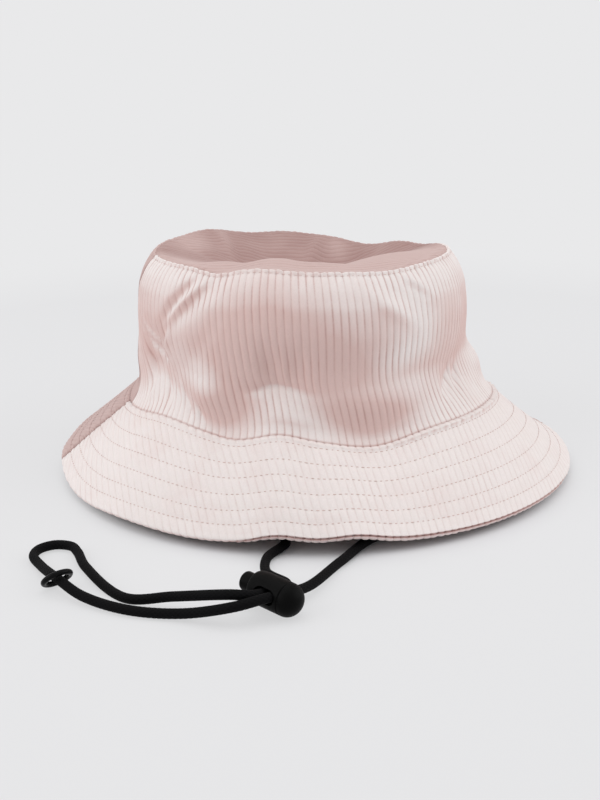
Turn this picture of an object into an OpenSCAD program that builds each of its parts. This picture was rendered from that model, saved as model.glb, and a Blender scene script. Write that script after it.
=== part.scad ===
// Child's bucket hat in two colours of corduroy, with a chin cord and a cord-lock toggle.
// Millimetres, +Z up, front of the hat towards -Y, side seams near the X axis.
// The origin is the middle of the brim's outline, on the surface that the brim rests on.

/* [Head opening] */
// Girth of the head that the hat fits
head_girth = 510; // [490:5:530]
// Height of the sweatband
band_h = 17; // [14:1:17]
// Height of its straight foot, which takes the head's girth
band_foot = 7; // [5:1:8]
// Thickness of the sweatband
band_t = 0.7; // [0.5:0.1:1]

/* [Cloth] */
// Thickness of the corduroy
cloth_t = 1.2; // [0.9:0.1:1.5]
// Thickness of the lining cloth
lining_t = 0.4; // [0.3:0.1:0.7]
// Thickness of the stiffener inside the brim
interlining_t = 0.5; // [0.3:0.1:0.8]
// Space between two layers of cloth
layer_gap = 0.3; // [0.25:0.05:0.5]

/* [Crown] */
// Height of the crown seam above the floor
seam_z = 36.5; // [36:0.5:40]
// Height of the crown's side from its seam to its rim
crown_h = 62; // [55:1:70]
// How far the slumped side comes in between its seam and its waist
waist_in = 11; // [8:0.5:13]
// Height of the waist above the seam
waist_up = 22; // [18:1:28]
// How far the side swells again above the waist
swell = 1.4; // [0:0.2:3]
// How far the side rounds in to its rim
rim_in = 6.5; // [4:0.5:8]
// How far the middle of the top sinks below the rim
top_sag = 10; // [6:0.5:12]
// Turn of the two side seams from the X axis, in degrees
seam_turn = 4; // [0:1:8]

/* [Brim] */
// Radius of the brim's edge
brim_r = 118; // [112:1:126]

/* [Chin cord] */
// Diameter of the cord
cord_d = 3.8; // [3:0.1:4]
// Width of the tape that holds each end of the cord
tab_w = 9; // [8:0.5:12]
// Thickness of that tape
tab_t = 1.5; // [1:0.1:1.6]

/* [Toggle] */
// Diameter of the toggle's body
toggle_d = 12.4; // [12:0.2:13]
// Length of the toggle's body
toggle_l = 20.5; // [20:0.5:23]
// Diameter of the push button
button_d = 7.2; // [6.8:0.1:7.6]
// How far the button stands out of the body
button_out = 5.5; // [4:0.5:7]
// Travel of the button
button_travel = 2.3; // [1.5:0.1:2.4]
// Wire of the spring under the button
spring_wire = 0.4; // [0.3:0.05:0.5]

/* [Ring] */
// Outer diameter of the ring on the cord
ring_d = 12.4; // [12:0.1:13]
// Wire of that ring
ring_wire = 2.2; // [1.8:0.1:2.4]

/* [Hidden] */

BLUSH = [0.87, 0.81, 0.79];
ROSE = [0.70, 0.58, 0.56];
LINING = [0.93, 0.90, 0.87];
BLACK = [0.06, 0.06, 0.065];

// Radii of the layers at the crown seam, from the head outwards
head_r = head_girth / (2 * PI);
band_r = head_r + band_t;
lining_r = band_r + layer_gap;
crown_in_r = lining_r + lining_t + layer_gap;
seam_r = crown_in_r + cloth_t;
brim_in_r = seam_r + layer_gap;

// Middle of the crown at its seam, and how far the crown leans from there to its rim
seam_at = [-2, 0];
lean = [-3.5, 0.5];
// Part of the crown's height in which it leans over
lean_part = 0.4;

// The brim's layers, measured upright on its slope
slope_stretch = 1.3;
brim_cloth_v = cloth_t * slope_stretch;
interlining_v = interlining_t * slope_stretch;
brim_stack = 2 * brim_cloth_v + interlining_v + 2 * layer_gap;
// The brim swells a little between its seam and its edge
brim_swell = 1.2;

// Waves of the soft cloth: angle (0 is +X, 270 the front), half-width in degrees, and a height, or for
// the brim's reach a length. Its swell sinks at both sides.
swell_waves = [[18, 30, -5], [160, 25, -2]];
reach_waves = [[45, 20, -6], [22, 14, -3]];
// The two narrow lifts at the front make room for the cord where it leaves the brim.
edge_waves = [[262, 22, 2.2], [252, 6, 2.4], [267, 6, 2.1], [219, 10, 0.7], [200, 9, -0.8],
              [332, 14, -0.8], [178, 10, 3], [148, 22, 5], [100, 14, -0.8], [50, 18, -0.8]];
edge_z = 0.6;
seam_waves = [[213, 12, 2.5], [237, 7, -1.5], [251, 7, 2.2], [277, 13, -4.2], [178, 14, -2],
              [163, 24, -1.6], [18, 34, -6]];
rim_waves = [[228, 8, -1.8], [246, 12, 1.5], [292, 14, -1.2], [20, 14, -3.3], [50, 17, -7],
             [75, 13, -2.2], [100, 13, -1.5], [125, 14, 2.3], [150, 14, 0.9]];
// The rim stands higher at the front than at the back
rim_tilt = 1.6;
rim_tilt_at = 250;

// Folds of the crown's side: angle, part of the height, half-widths of both, depth, slant
// (degrees of angle for the whole height)
side_folds = [[262, 0.45, 30, 0.2, -1.5, 0], [253, 0.36, 6, 0.14, -3, 0], [253, 0.1, 8, 0.1, 1.5, 0],
              [220, 0.8, 5, 0.25, -2.2, 45], [203, 0.3, 6, 0.2, -2, -20], [315, 0.22, 6, 0.12, -2, 25],
              [296, 0.85, 6, 0.12, -1.2, -40], [120, 0.4, 9, 0.25, -2.5, 20], [70, 0.45, 9, 0.2, -2.5, -25],
              [352, 0.24, 18, 0.13, 5.4, 0], [172, 0.28, 16, 0.15, 3.2, 0]];
// Folds of the top: x and y from the middle of the rim, half-widths, height
top_folds = [[-38, 24, 10, 14, 2.5], [-20, 20, 9, 16, -1.5], [30, 30, 14, 12, -2.5], [10, -42, 40, 9, 1.6]];

function bump(d, w) = exp(-pow(d / w, 2));
function turn(a, b) = (a - b + 540) % 360 - 180;
function waves(list, a) = list == [] ? 0 : sum([for (w = list) w[2] * bump(turn(a, w[0]), w[1])]);
function sum(v, i = 0) = i >= len(v) ? 0 : v[i] + sum(v, i + 1);
function clamp(x) = max(0, min(1, x));
function smooth(x) = let (t = clamp(x)) t * t * (3 - 2 * t);

// Heights of the brim's edge (its under side), the crown seam and the rim at an angle
function edge_height(a) = max(0, edge_z + waves(edge_waves, a));
function seam_height(a) = seam_z + waves(seam_waves, a);
function rim_height(a) = seam_z + crown_h + rim_tilt * cos(a - rim_tilt_at) + waves(rim_waves, a);

// The sweatband's straight foot ends a little under the crown seam, and the crown's side leans in from
// there or from its seam
foot_under = 5;
foot_top = seam_z - foot_under;
function slump_from(a) = max(seam_height(a), foot_top + layer_gap);
round_from = 0.8;

function side_fold(a, u) =
    sum([for (f = side_folds)
         f[4] * bump(turn(a, f[0] + f[5] * (u - f[1])), f[2]) * bump(u - f[1], f[3])]);
function slump(up) = let (t = clamp(up / waist_up)) waist_in * (1 - pow(1 - t, 2));
// The folds die out at the seam and at the rim
function fold_part(u, up) = clamp(up / 6) * clamp((1 - u) / 0.1);
function side_r(a, u, z) =
    let (up = z - slump_from(a))
    seam_r - slump(up) + swell * sin(180 * clamp((u - 0.35) / 0.5))
    - (u > round_from ? rim_in * pow((u - round_from) / (1 - round_from), 2) : 0)
    + fold_part(u, up) * side_fold(a, u);

// A point of the crown's side, the given depth inside its outer face.
// Below the seam (u under 0) the side goes straight down as the seam allowance.
function side_point(a, u, depth) =
    let (zs = seam_height(a),
         z = u < 0 ? zs + u * brim_stack : zs + u * (rim_height(a) - zs),
         r = (u < 0 ? seam_r : side_r(a, u, z)) - depth,
         k = smooth(u / lean_part))
    [seam_at[0] + lean[0] * k + r * cos(a), seam_at[1] + lean[1] * k + r * sin(a), z];

// A point of the top: (p, q) runs over a square, which is drawn out to a disc
rim_r = seam_r - waist_in - rim_in;
rim_flat = 1.6;
sag_power = 1.7;
top_gap = 0.5;
// The rim's waves die out from this part of the radius to the middle
calm_part = 0.6;
function top_height(x, y) =
    let (a = atan2(y, x),
         s = clamp(norm([x, y]) / (rim_r - rim_flat)),
         level = seam_z + crown_h,
         edge = level + (rim_height(a) - level) * smooth(s / calm_part))
    edge - top_sag * (1 - pow(s, sag_power))
    + (1 - pow(s, 4)) * sum([for (f = top_folds) f[4] * bump(x - f[0], f[2]) * bump(y - f[1], f[3])]);
function top_point(p, q, r, depth) =
    let (x = r * p * sqrt(1 - q * q / 2), y = r * q * sqrt(1 - p * p / 2))
    [seam_at[0] + lean[0] + x, seam_at[1] + lean[1] + y, top_height(x, y) + top_gap + cloth_t - depth];

// A point of the brim, t = 0 at the crown seam and 1 at the edge, and its height over the under face
function brim_point(a, t, up) =
    let (r = brim_in_r + t * (brim_r + waves(reach_waves, a) - brim_in_r),
         bulge = brim_swell + waves(swell_waves, a),
         z = (1 - t) * (seam_height(a) - brim_stack) + t * edge_height(a) + bulge * sin(180 * t))
    [seam_at[0] * (1 - t) + r * cos(a), seam_at[1] * (1 - t) + r * sin(a), z + up];

// Closed sheet of cloth between two grids of points of the same size, the first one outside
module sheet(outside, inside) {
    n = len(outside) - 1;
    m = len(outside[0]) - 1;
    w = m + 1;
    back = (n + 1) * w;
    function at(i, j) = i * w + j;
    points = concat([for (row = outside) for (p = row) p], [for (row = inside) for (p = row) p]);
    faces = concat(
        [for (i = [0:n-1]) for (j = [0:m-1]) each [
            [at(i, j), at(i, j+1), at(i+1, j+1)], [at(i, j), at(i+1, j+1), at(i+1, j)],
            [back + at(i, j), back + at(i+1, j+1), back + at(i, j+1)],
            [back + at(i, j), back + at(i+1, j), back + at(i+1, j+1)]]],
        [for (i = [0:n-1]) each [
            [at(i, 0), at(i+1, 0), back + at(i+1, 0)], [at(i, 0), back + at(i+1, 0), back + at(i, 0)],
            [at(i+1, m), at(i, m), back + at(i, m)], [at(i+1, m), back + at(i, m), back + at(i+1, m)]]],
        [for (j = [0:m-1]) each [
            [at(0, j+1), at(0, j), back + at(0, j)], [at(0, j+1), back + at(0, j), back + at(0, j+1)],
            [at(n, j), at(n, j+1), back + at(n, j+1)], [at(n, j), back + at(n, j+1), back + at(n, j)]]]);
    polyhedron(points, faces);
}

// Grid steps of the cloth, and the play at the two side seams in degrees
front_steps = 30;
back_steps = 24;
brim_rows = 4;
top_steps = 14;
seam_play = 0.12;
function arc_angle(from, i, n) = seam_turn + from + seam_play + (180 - 2 * seam_play) * i / n;

// Rows of the crown's side: the foot of the seam allowance, where it starts to lean in, then these
// parts of its height
side_rows = [0.13, 0.27, 0.45, 0.68, 0.84, 0.93, 1];
function slump_u(a) = let (zs = seam_height(a)) (slump_from(a) - zs) / (rim_height(a) - zs);
module side_panel(from, n, depth, t, rows) {
    function column(a, d) = [for (u = concat([-1, slump_u(a)], rows)) side_point(a, u, d)];
    function grid(d) = [for (i = [0:n]) column(arc_angle(from, i, n), d)];
    sheet(grid(depth), grid(depth + t));
}

module brim_panel(from, n, up, t, inner = 0, outer = 1) {
    function row_t(j) = outer + (inner - outer) * j / brim_rows;
    function row(a, h) = [for (j = [0:brim_rows]) brim_point(a, row_t(j), h)];
    function grid(h) = [for (i = [0:n]) row(arc_angle(from, i, n), h)];
    sheet(grid(up + t), grid(up));
}

module top_panel(r, depth, t) {
    function mid(i) = 2 * i / top_steps - 1;
    function grid(d) = [for (i = [0:top_steps]) [for (j = [0:top_steps]) top_point(mid(i), mid(j), r, d)]];
    sheet(grid(depth), grid(depth + t));
}

module crown_top() { color(ROSE) top_panel(rim_r, 0, cloth_t); }
module crown_front() { color(BLUSH) side_panel(180, front_steps, 0, cloth_t, side_rows); }
module crown_back() { color(ROSE) side_panel(0, back_steps, 0, cloth_t, side_rows); }

// The stiffener starts clear of the seam and stops clear of the edge
interlining_from = 0.03;
interlining_to = 0.95;
interlining_up = brim_cloth_v + layer_gap;
brim_top_up = interlining_up + interlining_v + layer_gap;

module brim_top_front() { color(BLUSH) brim_panel(180, front_steps, brim_top_up, brim_cloth_v); }
module brim_top_back() { color(ROSE) brim_panel(0, back_steps, brim_top_up, brim_cloth_v); }
module brim_under_front() { color(BLUSH) brim_panel(180, front_steps, 0, brim_cloth_v); }
module brim_under_back() { color(ROSE) brim_panel(0, back_steps, 0, brim_cloth_v); }
module interlining_front() {
    color(LINING)
        brim_panel(180, front_steps, interlining_up, interlining_v, interlining_from, interlining_to);
}
module interlining_back() {
    color(LINING)
        brim_panel(0, back_steps, interlining_up, interlining_v, interlining_from, interlining_to);
}

// The lining hangs one layer inside the corduroy, and its side stops one row under its top disc
lining_depth = cloth_t + layer_gap;
lining_rows = [for (u = side_rows) if (u < 1) u];
module lining_top() {
    color(LINING) top_panel(rim_r - lining_depth - layer_gap, cloth_t + top_gap, lining_t);
}
module lining_front() { color(LINING) side_panel(180, front_steps, lining_depth, lining_t, lining_rows); }
module lining_back() { color(LINING) side_panel(0, back_steps, lining_depth, lining_t, lining_rows); }

// Sweatband: a straight foot, then a part that leans in with the slumped crown and clears its folds
band_steps = 4;
fold_room = 0.22;
function band_lean(up) =
    slump(up) + norm(lean) * smooth((up + 1.5) / (lean_part * crown_h)) + fold_room * up;
module sweatband() {
    foot_z = foot_top - band_foot;
    edge = [for (k = [0:band_steps]) let (up = (band_h - band_foot) * k / band_steps)
        [k == 0 ? 0 : band_lean(up), foot_top + up]];
    outer = [for (e = edge) [band_r - e[0], e[1]]];
    inner = [for (k = [band_steps:-1:0]) [head_r - edge[k][0], edge[k][1]]];
    color(LINING) translate([seam_at[0], seam_at[1], 0])
        rotate_extrude($fn = 180) polygon(concat([[head_r, foot_z], [band_r, foot_z]], outer, inner));
}

// Tape tabs at the side seams: a flat tail behind the sweatband and a sewn sleeve for the cord's end
sleeve_wall = 1.3;
sleeve_play = 0.12;
sleeve_h = 9;
sleeve_z = 12.5;
cord_in_sleeve = 6;
sleeve_r = cord_d / 2 + sleeve_play + sleeve_wall;
tail_r = band_r + layer_gap;
tail_top = min(seam_height(0), seam_height(180)) - brim_stack - 1;
tab_r = tail_r + tab_t + sleeve_r - 0.5;

module cord_tab(side) {
    translate([seam_at[0], seam_at[1], 0]) rotate([0, 0, side]) color(BLACK) difference() {
        union() {
            translate([tail_r + 0.15, -tab_w / 2, sleeve_z]) cube([tab_t, tab_w, tail_top - sleeve_z]);
            translate([tab_r, 0, sleeve_z]) cylinder(r = sleeve_r, h = sleeve_h, $fn = 48);
        }
        translate([tab_r, 0, sleeve_z - 1])
            cylinder(r = cord_d / 2 + sleeve_play, h = cord_in_sleeve + 1.5, $fn = 48);
    }
}
module cord_tab_left() { cord_tab(180); }
module cord_tab_right() { cord_tab(0); }

// Where the toggle lies: middle of its cross hole, turn about Z, lift of its button end, roll
toggle_at = [-45.4, -158.8, 7.2];
toggle_yaw = 130;
toggle_tilt = 5;
toggle_roll = 12;
// Distance from the toggle's round end to the middle of its cross hole
hole_from_end = 12;
strand_gap = 0.25;
hole_play = 0.35;
strand_pitch = cord_d + strand_gap;
hole_l = strand_pitch + cord_d + 2 * hole_play;
hole_w = cord_d + 2 * hole_play + 0.2;
button_play = 0.15;
end_wall = 2.4;
button_foot = 1.5;
bore_from = end_wall - hole_from_end;
button_from = -hole_l / 2 - button_foot;
body_to = toggle_l - hole_from_end;

// Axes of the toggle in the hat's frame: along its length towards the button, and along its hole
toggle_long = [cos(toggle_tilt) * cos(toggle_yaw), cos(toggle_tilt) * sin(toggle_yaw), sin(toggle_tilt)];
hole_flat = [sin(toggle_yaw), -cos(toggle_yaw), 0];
hole_axis = hole_flat * cos(toggle_roll) - cross(hole_flat, toggle_long) * sin(toggle_roll);
function in_hole(strand, along) = toggle_at + toggle_long * strand * strand_pitch / 2 + hole_axis * along;

// Where the ring hangs on the cord: its middle, the turn of its axis and how far the axis leans back
ring_yaw = 116;
ring_lean = 44;
ring_mid_r = (ring_d - ring_wire) / 2;
ring_z = ring_mid_r * sin(ring_lean) + ring_wire / 2 + 0.2;
ring_at = [-120.6, -124.9, ring_z];

// Route of the cord's middle line: from the left tab under the brim, out at the front, through the
// toggle, round the loop with the ring, back through the toggle and under the brim to the right tab
floor_z = 2.1;
left_tab = [seam_at[0] - tab_r, seam_at[1], sleeve_z];
right_tab = [seam_at[0] + tab_r, seam_at[1], sleeve_z];
route = [
    left_tab + [0, 0, cord_in_sleeve], left_tab + [0, 0, -1.2], left_tab + [0, -1.3, -5.8],
    left_tab + [-0.2, -4.8, -8.8], [-89.1, -11, 2.6], [-80, -56, floor_z], [-37, -89, floor_z],
    [-31.6, -102.5, floor_z], [-41.5, -117, floor_z], [-43.8, -131, 2.5], [-38.8, -145.5, 4.3],
    in_hole(1, 8), in_hole(1, 0), in_hole(1, -9),
    [-61.8, -163.2, 10.4], [-80, -149, 4.8], [-96, -141.5, floor_z], [-110, -111, floor_z],
    [-112.9, -96, floor_z], [-115.2, -89.9, floor_z], [-121.3, -87.1, floor_z], [-127.4, -89.9, floor_z],
    [-129.7, -96, floor_z], [-126.8, -106.5, 2.3], ring_at,
    [-111.5, -138, 2.8], [-96, -151, floor_z], [-78, -159, 2.8], [-61, -167.4, 7.6],
    in_hole(-1, -9), in_hole(-1, 0), in_hole(-1, 8),
    [-30.5, -147.6, 3.6], [-14.5, -126, floor_z], [4, -105.5, floor_z], [62, -75, floor_z],
    [85.1, -11, 2.6], right_tab + [0.2, -4.8, -8.8],
    right_tab + [0, -1.3, -5.8], right_tab + [0, 0, -1.2], right_tab + [0, 0, cord_in_sleeve]];

// Smooth line through a route: one cubic from each point to the next, with slopes that suit uneven steps
ring_step = 2.5 * cord_d;
function between(p0, p1, p2, p3, t) =
    let (a = sqrt(norm(p1 - p0)), b = sqrt(norm(p2 - p1)), c = sqrt(norm(p3 - p2)),
         out = p2 - p1 + b * ((p1 - p0) / a - (p2 - p0) / (a + b)),
         in = p2 - p1 + b * ((p3 - p2) / c - (p3 - p1) / (b + c)))
    p1 + t * out + t * t * (3 * (p2 - p1) - 2 * out - in) + pow(t, 3) * (2 * (p1 - p2) + out + in);
function smooth_line(p) =
    let (q = concat([2 * p[0] - p[1]], p, [2 * p[len(p)-1] - p[len(p)-2]]))
    concat([for (i = [1:len(p)-1]) let (n = max(1, round(norm(q[i+1] - q[i]) / ring_step)))
                for (k = [0:n-1]) between(q[i-1], q[i], q[i+1], q[i+2], k / n)],
           [p[len(p)-1]]);

cord_sides = 8;
function unit(v) = v / norm(v);
function heading(p, i) = unit(p[min(i + 1, len(p) - 1)] - p[max(i - 1, 0)]);
// Cross directions are carried along the route without twist
function carried(p, i, prev) = let (h = heading(p, i)) unit(prev - h * (prev * h));
function frames(p) =
    [for (i = 0, x = carried(p, 0, [1, 0, 0]); i < len(p);
          i = i + 1, x = i < len(p) ? carried(p, i, x) : x)
        [x, cross(heading(p, i), x)]];

// Tube of a round cord along a route
module tube(p, d, sides) {
    axes = frames(p);
    n = len(p);
    points = [for (i = [0:n-1]) for (k = [0:sides-1])
        p[i] + (axes[i][0] * cos(360 * k / sides) + axes[i][1] * sin(360 * k / sides)) * d / 2];
    function at(i, k) = i * sides + k % sides;
    walls = [for (i = [0:n-2]) for (k = [0:sides-1]) each [
        [at(i, k), at(i+1, k), at(i+1, k+1)], [at(i, k), at(i+1, k+1), at(i, k+1)]]];
    ends = [for (k = [1:sides-2]) each [
        [at(0, 0), at(0, k), at(0, k+1)], [at(n-1, 0), at(n-1, k+1), at(n-1, k)]]];
    polyhedron(points, concat(walls, ends));
}

module chin_cord() { color(BLACK) tube(smooth_line(route), cord_d, cord_sides); }

module toggle_place() {
    translate(toggle_at) rotate([0, 0, toggle_yaw]) rotate([0, -toggle_tilt, 0]) rotate([toggle_roll, 0, 0])
        children();
}
// Slot across the toggle, rounded at both ends, from one place along its length to another
module cross_slot(from, to) {
    for (x = [from + hole_w / 2, to - hole_w / 2])
        translate([x, toggle_d, 0]) rotate([90, 0, 0]) cylinder(d = hole_w, h = 2 * toggle_d, $fn = 48);
    translate([from + hole_w / 2, -toggle_d, -hole_w / 2]) cube([to - from - hole_w, 2 * toggle_d, hole_w]);
}
// Turned shape along the toggle's length from a half outline
module turned(outline) { rotate([0, 90, 0]) rotate_extrude($fn = 72) polygon(outline); }

groove_at = 5.6;
groove_w = 0.8;
groove_depth = 0.35;
mouth_r = button_d / 2 + button_play + 1.3;
module toggle_body() {
    r = toggle_d / 2;
    dome = [for (k = [0:9]) [r * sin(9 * k), -hole_from_end + groove_at * (1 - cos(9 * k))]];
    groove = [[r, groove_at - hole_from_end], [r - groove_depth, groove_at - hole_from_end + groove_w / 2],
              [r, groove_at - hole_from_end + groove_w]];
    taper = [for (k = [0:6]) [r - (r - mouth_r) * (1 - cos(15 * k)), body_to * (0.35 + 0.65 * sin(15 * k))]];
    color(BLACK) toggle_place() difference() {
        turned(concat(dome, groove, taper, [[0, body_to]]));
        translate([bore_from, 0, 0]) rotate([0, 90, 0])
            cylinder(d = button_d + 2 * button_play, h = toggle_l, $fn = 64);
        cross_slot(-hole_l / 2, hole_l / 2);
    }
}

button_round = 1.2;
module toggle_button() {
    r = button_d / 2;
    tip = body_to + button_out;
    round = [for (k = [0:6]) [r - button_round * (1 - cos(15 * k)), tip - button_round * (1 - sin(15 * k))]];
    color(BLACK) toggle_place() difference() {
        turned(concat([[0, button_from], [r, button_from]], round, [[0, tip]]));
        cross_slot(-hole_l / 2, hole_l / 2 + button_travel);
    }
}

spring_turns = 2.5;
spring_steps = 12;
spring_play = 0.06;
module toggle_spring() {
    low = bore_from + spring_wire / 2 + spring_play;
    high = button_from - spring_wire / 2 - spring_play;
    coil_r = button_d / 2 - 0.7;
    count = spring_turns * spring_steps;
    path = [for (i = [0:count]) let (a = 360 * i / spring_steps)
        [low + (high - low) * i / count, coil_r * cos(a), coil_r * sin(a)]];
    color("silver") toggle_place() tube(path, spring_wire, 6);
}

module cord_ring() {
    color(BLACK) translate(ring_at) rotate([0, ring_lean, ring_yaw])
        rotate_extrude($fn = 72) translate([ring_mid_r, 0]) circle(d = ring_wire, $fn = 32);
}

crown_top();
crown_front();
crown_back();
brim_top_front();
brim_top_back();
brim_under_front();
brim_under_back();
interlining_front();
interlining_back();
lining_top();
lining_front();
lining_back();
sweatband();
cord_tab_left();
cord_tab_right();
chin_cord();
toggle_body();
toggle_button();
toggle_spring();
cord_ring();
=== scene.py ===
# %% [markdown]
# # A bucket hat with a chin cord
#
# A small sun hat, sewn from two colours of wide corduroy: pale blush in front, dusty rose on top and
# behind. A black cord runs from side to side under the brim, comes out in front through a toggle, and
# carries a little ring. The CAD part says where everything is and how big it is. This lesson dresses it:
# cloth with ribs, seams, stitches and folds, a braided cord, moulded plastic.
#
# Blender measures in metres, and sewing patterns are easier to think about in millimetres. So every shape
# below is worked out in millimetres and scaled by `MM` when it becomes a mesh.

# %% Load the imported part
import math

import bpy
import bmesh
import numpy as np
from mathutils import Matrix, Vector


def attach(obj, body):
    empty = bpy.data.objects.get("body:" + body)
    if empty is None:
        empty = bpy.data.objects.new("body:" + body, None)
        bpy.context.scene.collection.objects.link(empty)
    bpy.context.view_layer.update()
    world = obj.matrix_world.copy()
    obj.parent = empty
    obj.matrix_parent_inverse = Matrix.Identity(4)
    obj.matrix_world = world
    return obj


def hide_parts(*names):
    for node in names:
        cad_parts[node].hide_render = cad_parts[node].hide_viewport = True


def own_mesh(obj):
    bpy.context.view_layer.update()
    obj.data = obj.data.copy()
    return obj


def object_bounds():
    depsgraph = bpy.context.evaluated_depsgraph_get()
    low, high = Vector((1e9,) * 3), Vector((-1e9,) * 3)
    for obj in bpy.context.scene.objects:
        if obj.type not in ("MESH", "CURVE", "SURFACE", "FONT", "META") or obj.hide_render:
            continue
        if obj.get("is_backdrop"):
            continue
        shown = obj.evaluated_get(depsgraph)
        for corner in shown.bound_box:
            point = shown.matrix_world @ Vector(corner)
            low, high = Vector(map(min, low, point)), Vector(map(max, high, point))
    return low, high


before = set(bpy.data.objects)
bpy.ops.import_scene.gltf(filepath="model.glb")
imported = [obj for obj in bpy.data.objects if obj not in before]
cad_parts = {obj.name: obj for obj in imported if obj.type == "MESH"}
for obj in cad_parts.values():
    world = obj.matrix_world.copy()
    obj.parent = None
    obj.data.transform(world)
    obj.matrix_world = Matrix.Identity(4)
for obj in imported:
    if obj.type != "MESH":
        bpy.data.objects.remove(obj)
cad_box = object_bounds()
MM = 0.001
print("CAD nodes:", len(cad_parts), "box in mm:", [[round(c / MM, 1) for c in p] for p in cad_box])

# %% [markdown]
# ## Camera
#
# The hat was photographed from a little above, and from a little to its right hand side. A camera can be
# aimed with a constraint, but building its matrix from three directions keeps the small tilt of the horizon
# too. The lens follows from the focal length in pixels: the sensor's 36 mm lie along the picture's long side.

# %% Camera at the photograph's angle
frame_w, frame_h = 600, 800
focal_px = 1279.9
aim = Vector((-6.94, 1.22, 27.73)) * MM
eye_distance, sensor = 0.600, 36
rise, swing, tilt = (math.radians(d) for d in (17.0, -10.0, -0.844))

back = Vector((math.sin(swing) * math.cos(rise), -math.cos(swing) * math.cos(rise), math.sin(rise)))
right = Vector((math.cos(swing), math.sin(swing), 0))
up = back.cross(right)
right, up = right * math.cos(tilt) + up * math.sin(tilt), up * math.cos(tilt) - right * math.sin(tilt)
camera = bpy.data.objects.new("camera", bpy.data.cameras.new("camera"))
bpy.context.scene.collection.objects.link(camera)
facing_aim = Matrix((right, up, back)).transposed().to_4x4()
camera.matrix_world = Matrix.Translation(aim + back * eye_distance) @ facing_aim
camera.data.sensor_width = sensor
camera.data.lens = sensor * focal_px / max(frame_w, frame_h)
bpy.context.scene.camera = camera
print("lens", round(camera.data.lens, 2), "mm, eye at", [round(c / MM, 1) for c in camera.location])

# %% [markdown]
# ## Small tools
#
# Materials and Geometry Nodes are both node trees, so one helper adds a node to either: it sets the node's
# settings, and for each input it takes a plain value or another node's output. Colours are written as the
# numbers a colour picker shows, and Blender wants them linear, so `paint` converts them. Every surface has
# some grain that stays on the object, so `noise` reads the object's own coordinates.

# %% Helpers for node trees, colours and meshes
def add(tree, kind, inputs=None, **settings):
    made = tree.nodes.new(kind)
    for key, value in settings.items():
        setattr(made, key, value)
    for key, value in (inputs or {}).items():
        if isinstance(value, bpy.types.NodeSocket):
            tree.links.new(value, made.inputs[key])
        else:
            made.inputs[key].default_value = value
    return made


def sums(tree, operation, a, b=0.0, c=0.0, clamp=False):
    return add(tree, "ShaderNodeMath", {0: a, 1: b, 2: c}, operation=operation, use_clamp=clamp).outputs[0]


def mixed(tree, factor, a, b, mode="MIX"):
    return add(tree, "ShaderNodeMix", {0: factor, 6: a, 7: b}, data_type="RGBA", blend_type=mode).outputs[2]


def noise(tree, scale, detail=2.0, **inputs):
    place = add(tree, "ShaderNodeTexCoord").outputs["Object"]
    inputs.update(Vector=place, Scale=scale, Detail=detail)
    return add(tree, "ShaderNodeTexNoise", inputs).outputs["Fac"]


def paint(*rgb):
    return tuple(((c / 255 + 0.055) / 1.055) ** 2.4 for c in rgb) + (1.0,)


def finish_named(name, roughness, **sockets):
    material = bpy.data.materials.new(name)
    material.use_nodes = True
    shader = material.node_tree.nodes["Principled BSDF"]
    shader.inputs["Roughness"].default_value = roughness
    for key, value in sockets.items():
        shader.inputs[key.replace("_", " ")].default_value = value
    return material, material.node_tree, shader


def coloured(tree, shader, colour, height=None, strength=1.0, depth=0.0):
    tree.links.new(colour, shader.inputs["Base Color"])
    if height is not None:
        bump = add(tree, "ShaderNodeBump", {"Height": height, "Strength": strength, "Distance": depth})
        tree.links.new(bump.outputs[0], shader.inputs["Normal"])


def in_scene(name, data):
    made = bpy.data.objects.new(name, data)
    bpy.context.scene.collection.objects.link(made)
    return made


def mesh_piece(name, points, faces, material=None):
    mesh = bpy.data.meshes.new(name)
    mesh.from_pydata((np.asarray(points, float) * MM).tolist(), [], faces)
    mesh.shade_smooth()
    if material:
        mesh.materials.append(material)
    return in_scene(name, mesh)


def applied(piece, keep_layers=False):
    graph = bpy.context.evaluated_depsgraph_get()
    made = bpy.data.meshes.new_from_object(piece.evaluated_get(graph), preserve_all_data_layers=keep_layers,
                                           depsgraph=graph)
    piece.modifiers.clear()
    piece.data = made
    made.shade_smooth()
    return made


def corner_vertices(piece):
    corner = np.zeros(len(piece.data.loops), int)
    piece.data.loops.foreach_get("vertex_index", corner)
    return corner


def belongs(piece, body, nodes):
    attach(piece, body)
    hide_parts(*nodes)
    return piece


print("half grey is stored as", [round(c, 3) for c in paint(128, 128, 128)])

# %% [markdown]
# ## The chin cord's line
#
# The cord is one soft black braid. It starts in a tape sleeve at the left side seam, drops to the floor,
# comes out under the front of the brim, goes through the toggle, makes a loop with the ring, and returns the
# same way to the right side. A curve object could carry it, but a mesh tube can have the braid's relief.
# The line goes through a few dozen points, by one cubic from each point to the next. The slopes use the
# square roots of the steps, so long and short steps join without loops or wiggles.

# %% Route of the cord
toggle_at = np.array((-45.4, -158.8, 7.2))
toggle_yaw, toggle_tilt, toggle_roll = np.radians((130, 5, 12))
toggle_long = np.array((math.cos(toggle_tilt) * math.cos(toggle_yaw),
                        math.cos(toggle_tilt) * math.sin(toggle_yaw), math.sin(toggle_tilt)))
hole_flat = np.array((math.sin(toggle_yaw), -math.cos(toggle_yaw), 0))
hole_axis = hole_flat * math.cos(toggle_roll) - np.cross(hole_flat, toggle_long) * math.sin(toggle_roll)
strand_pitch, cord_d, floor_z = 4.05, 3.8, 2.1
hat_x, tab_r, tab_z = -2.0, 86.489, 12.5


def in_hole(strand, along):
    return toggle_at + toggle_long * strand * strand_pitch / 2 + hole_axis * along


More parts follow.
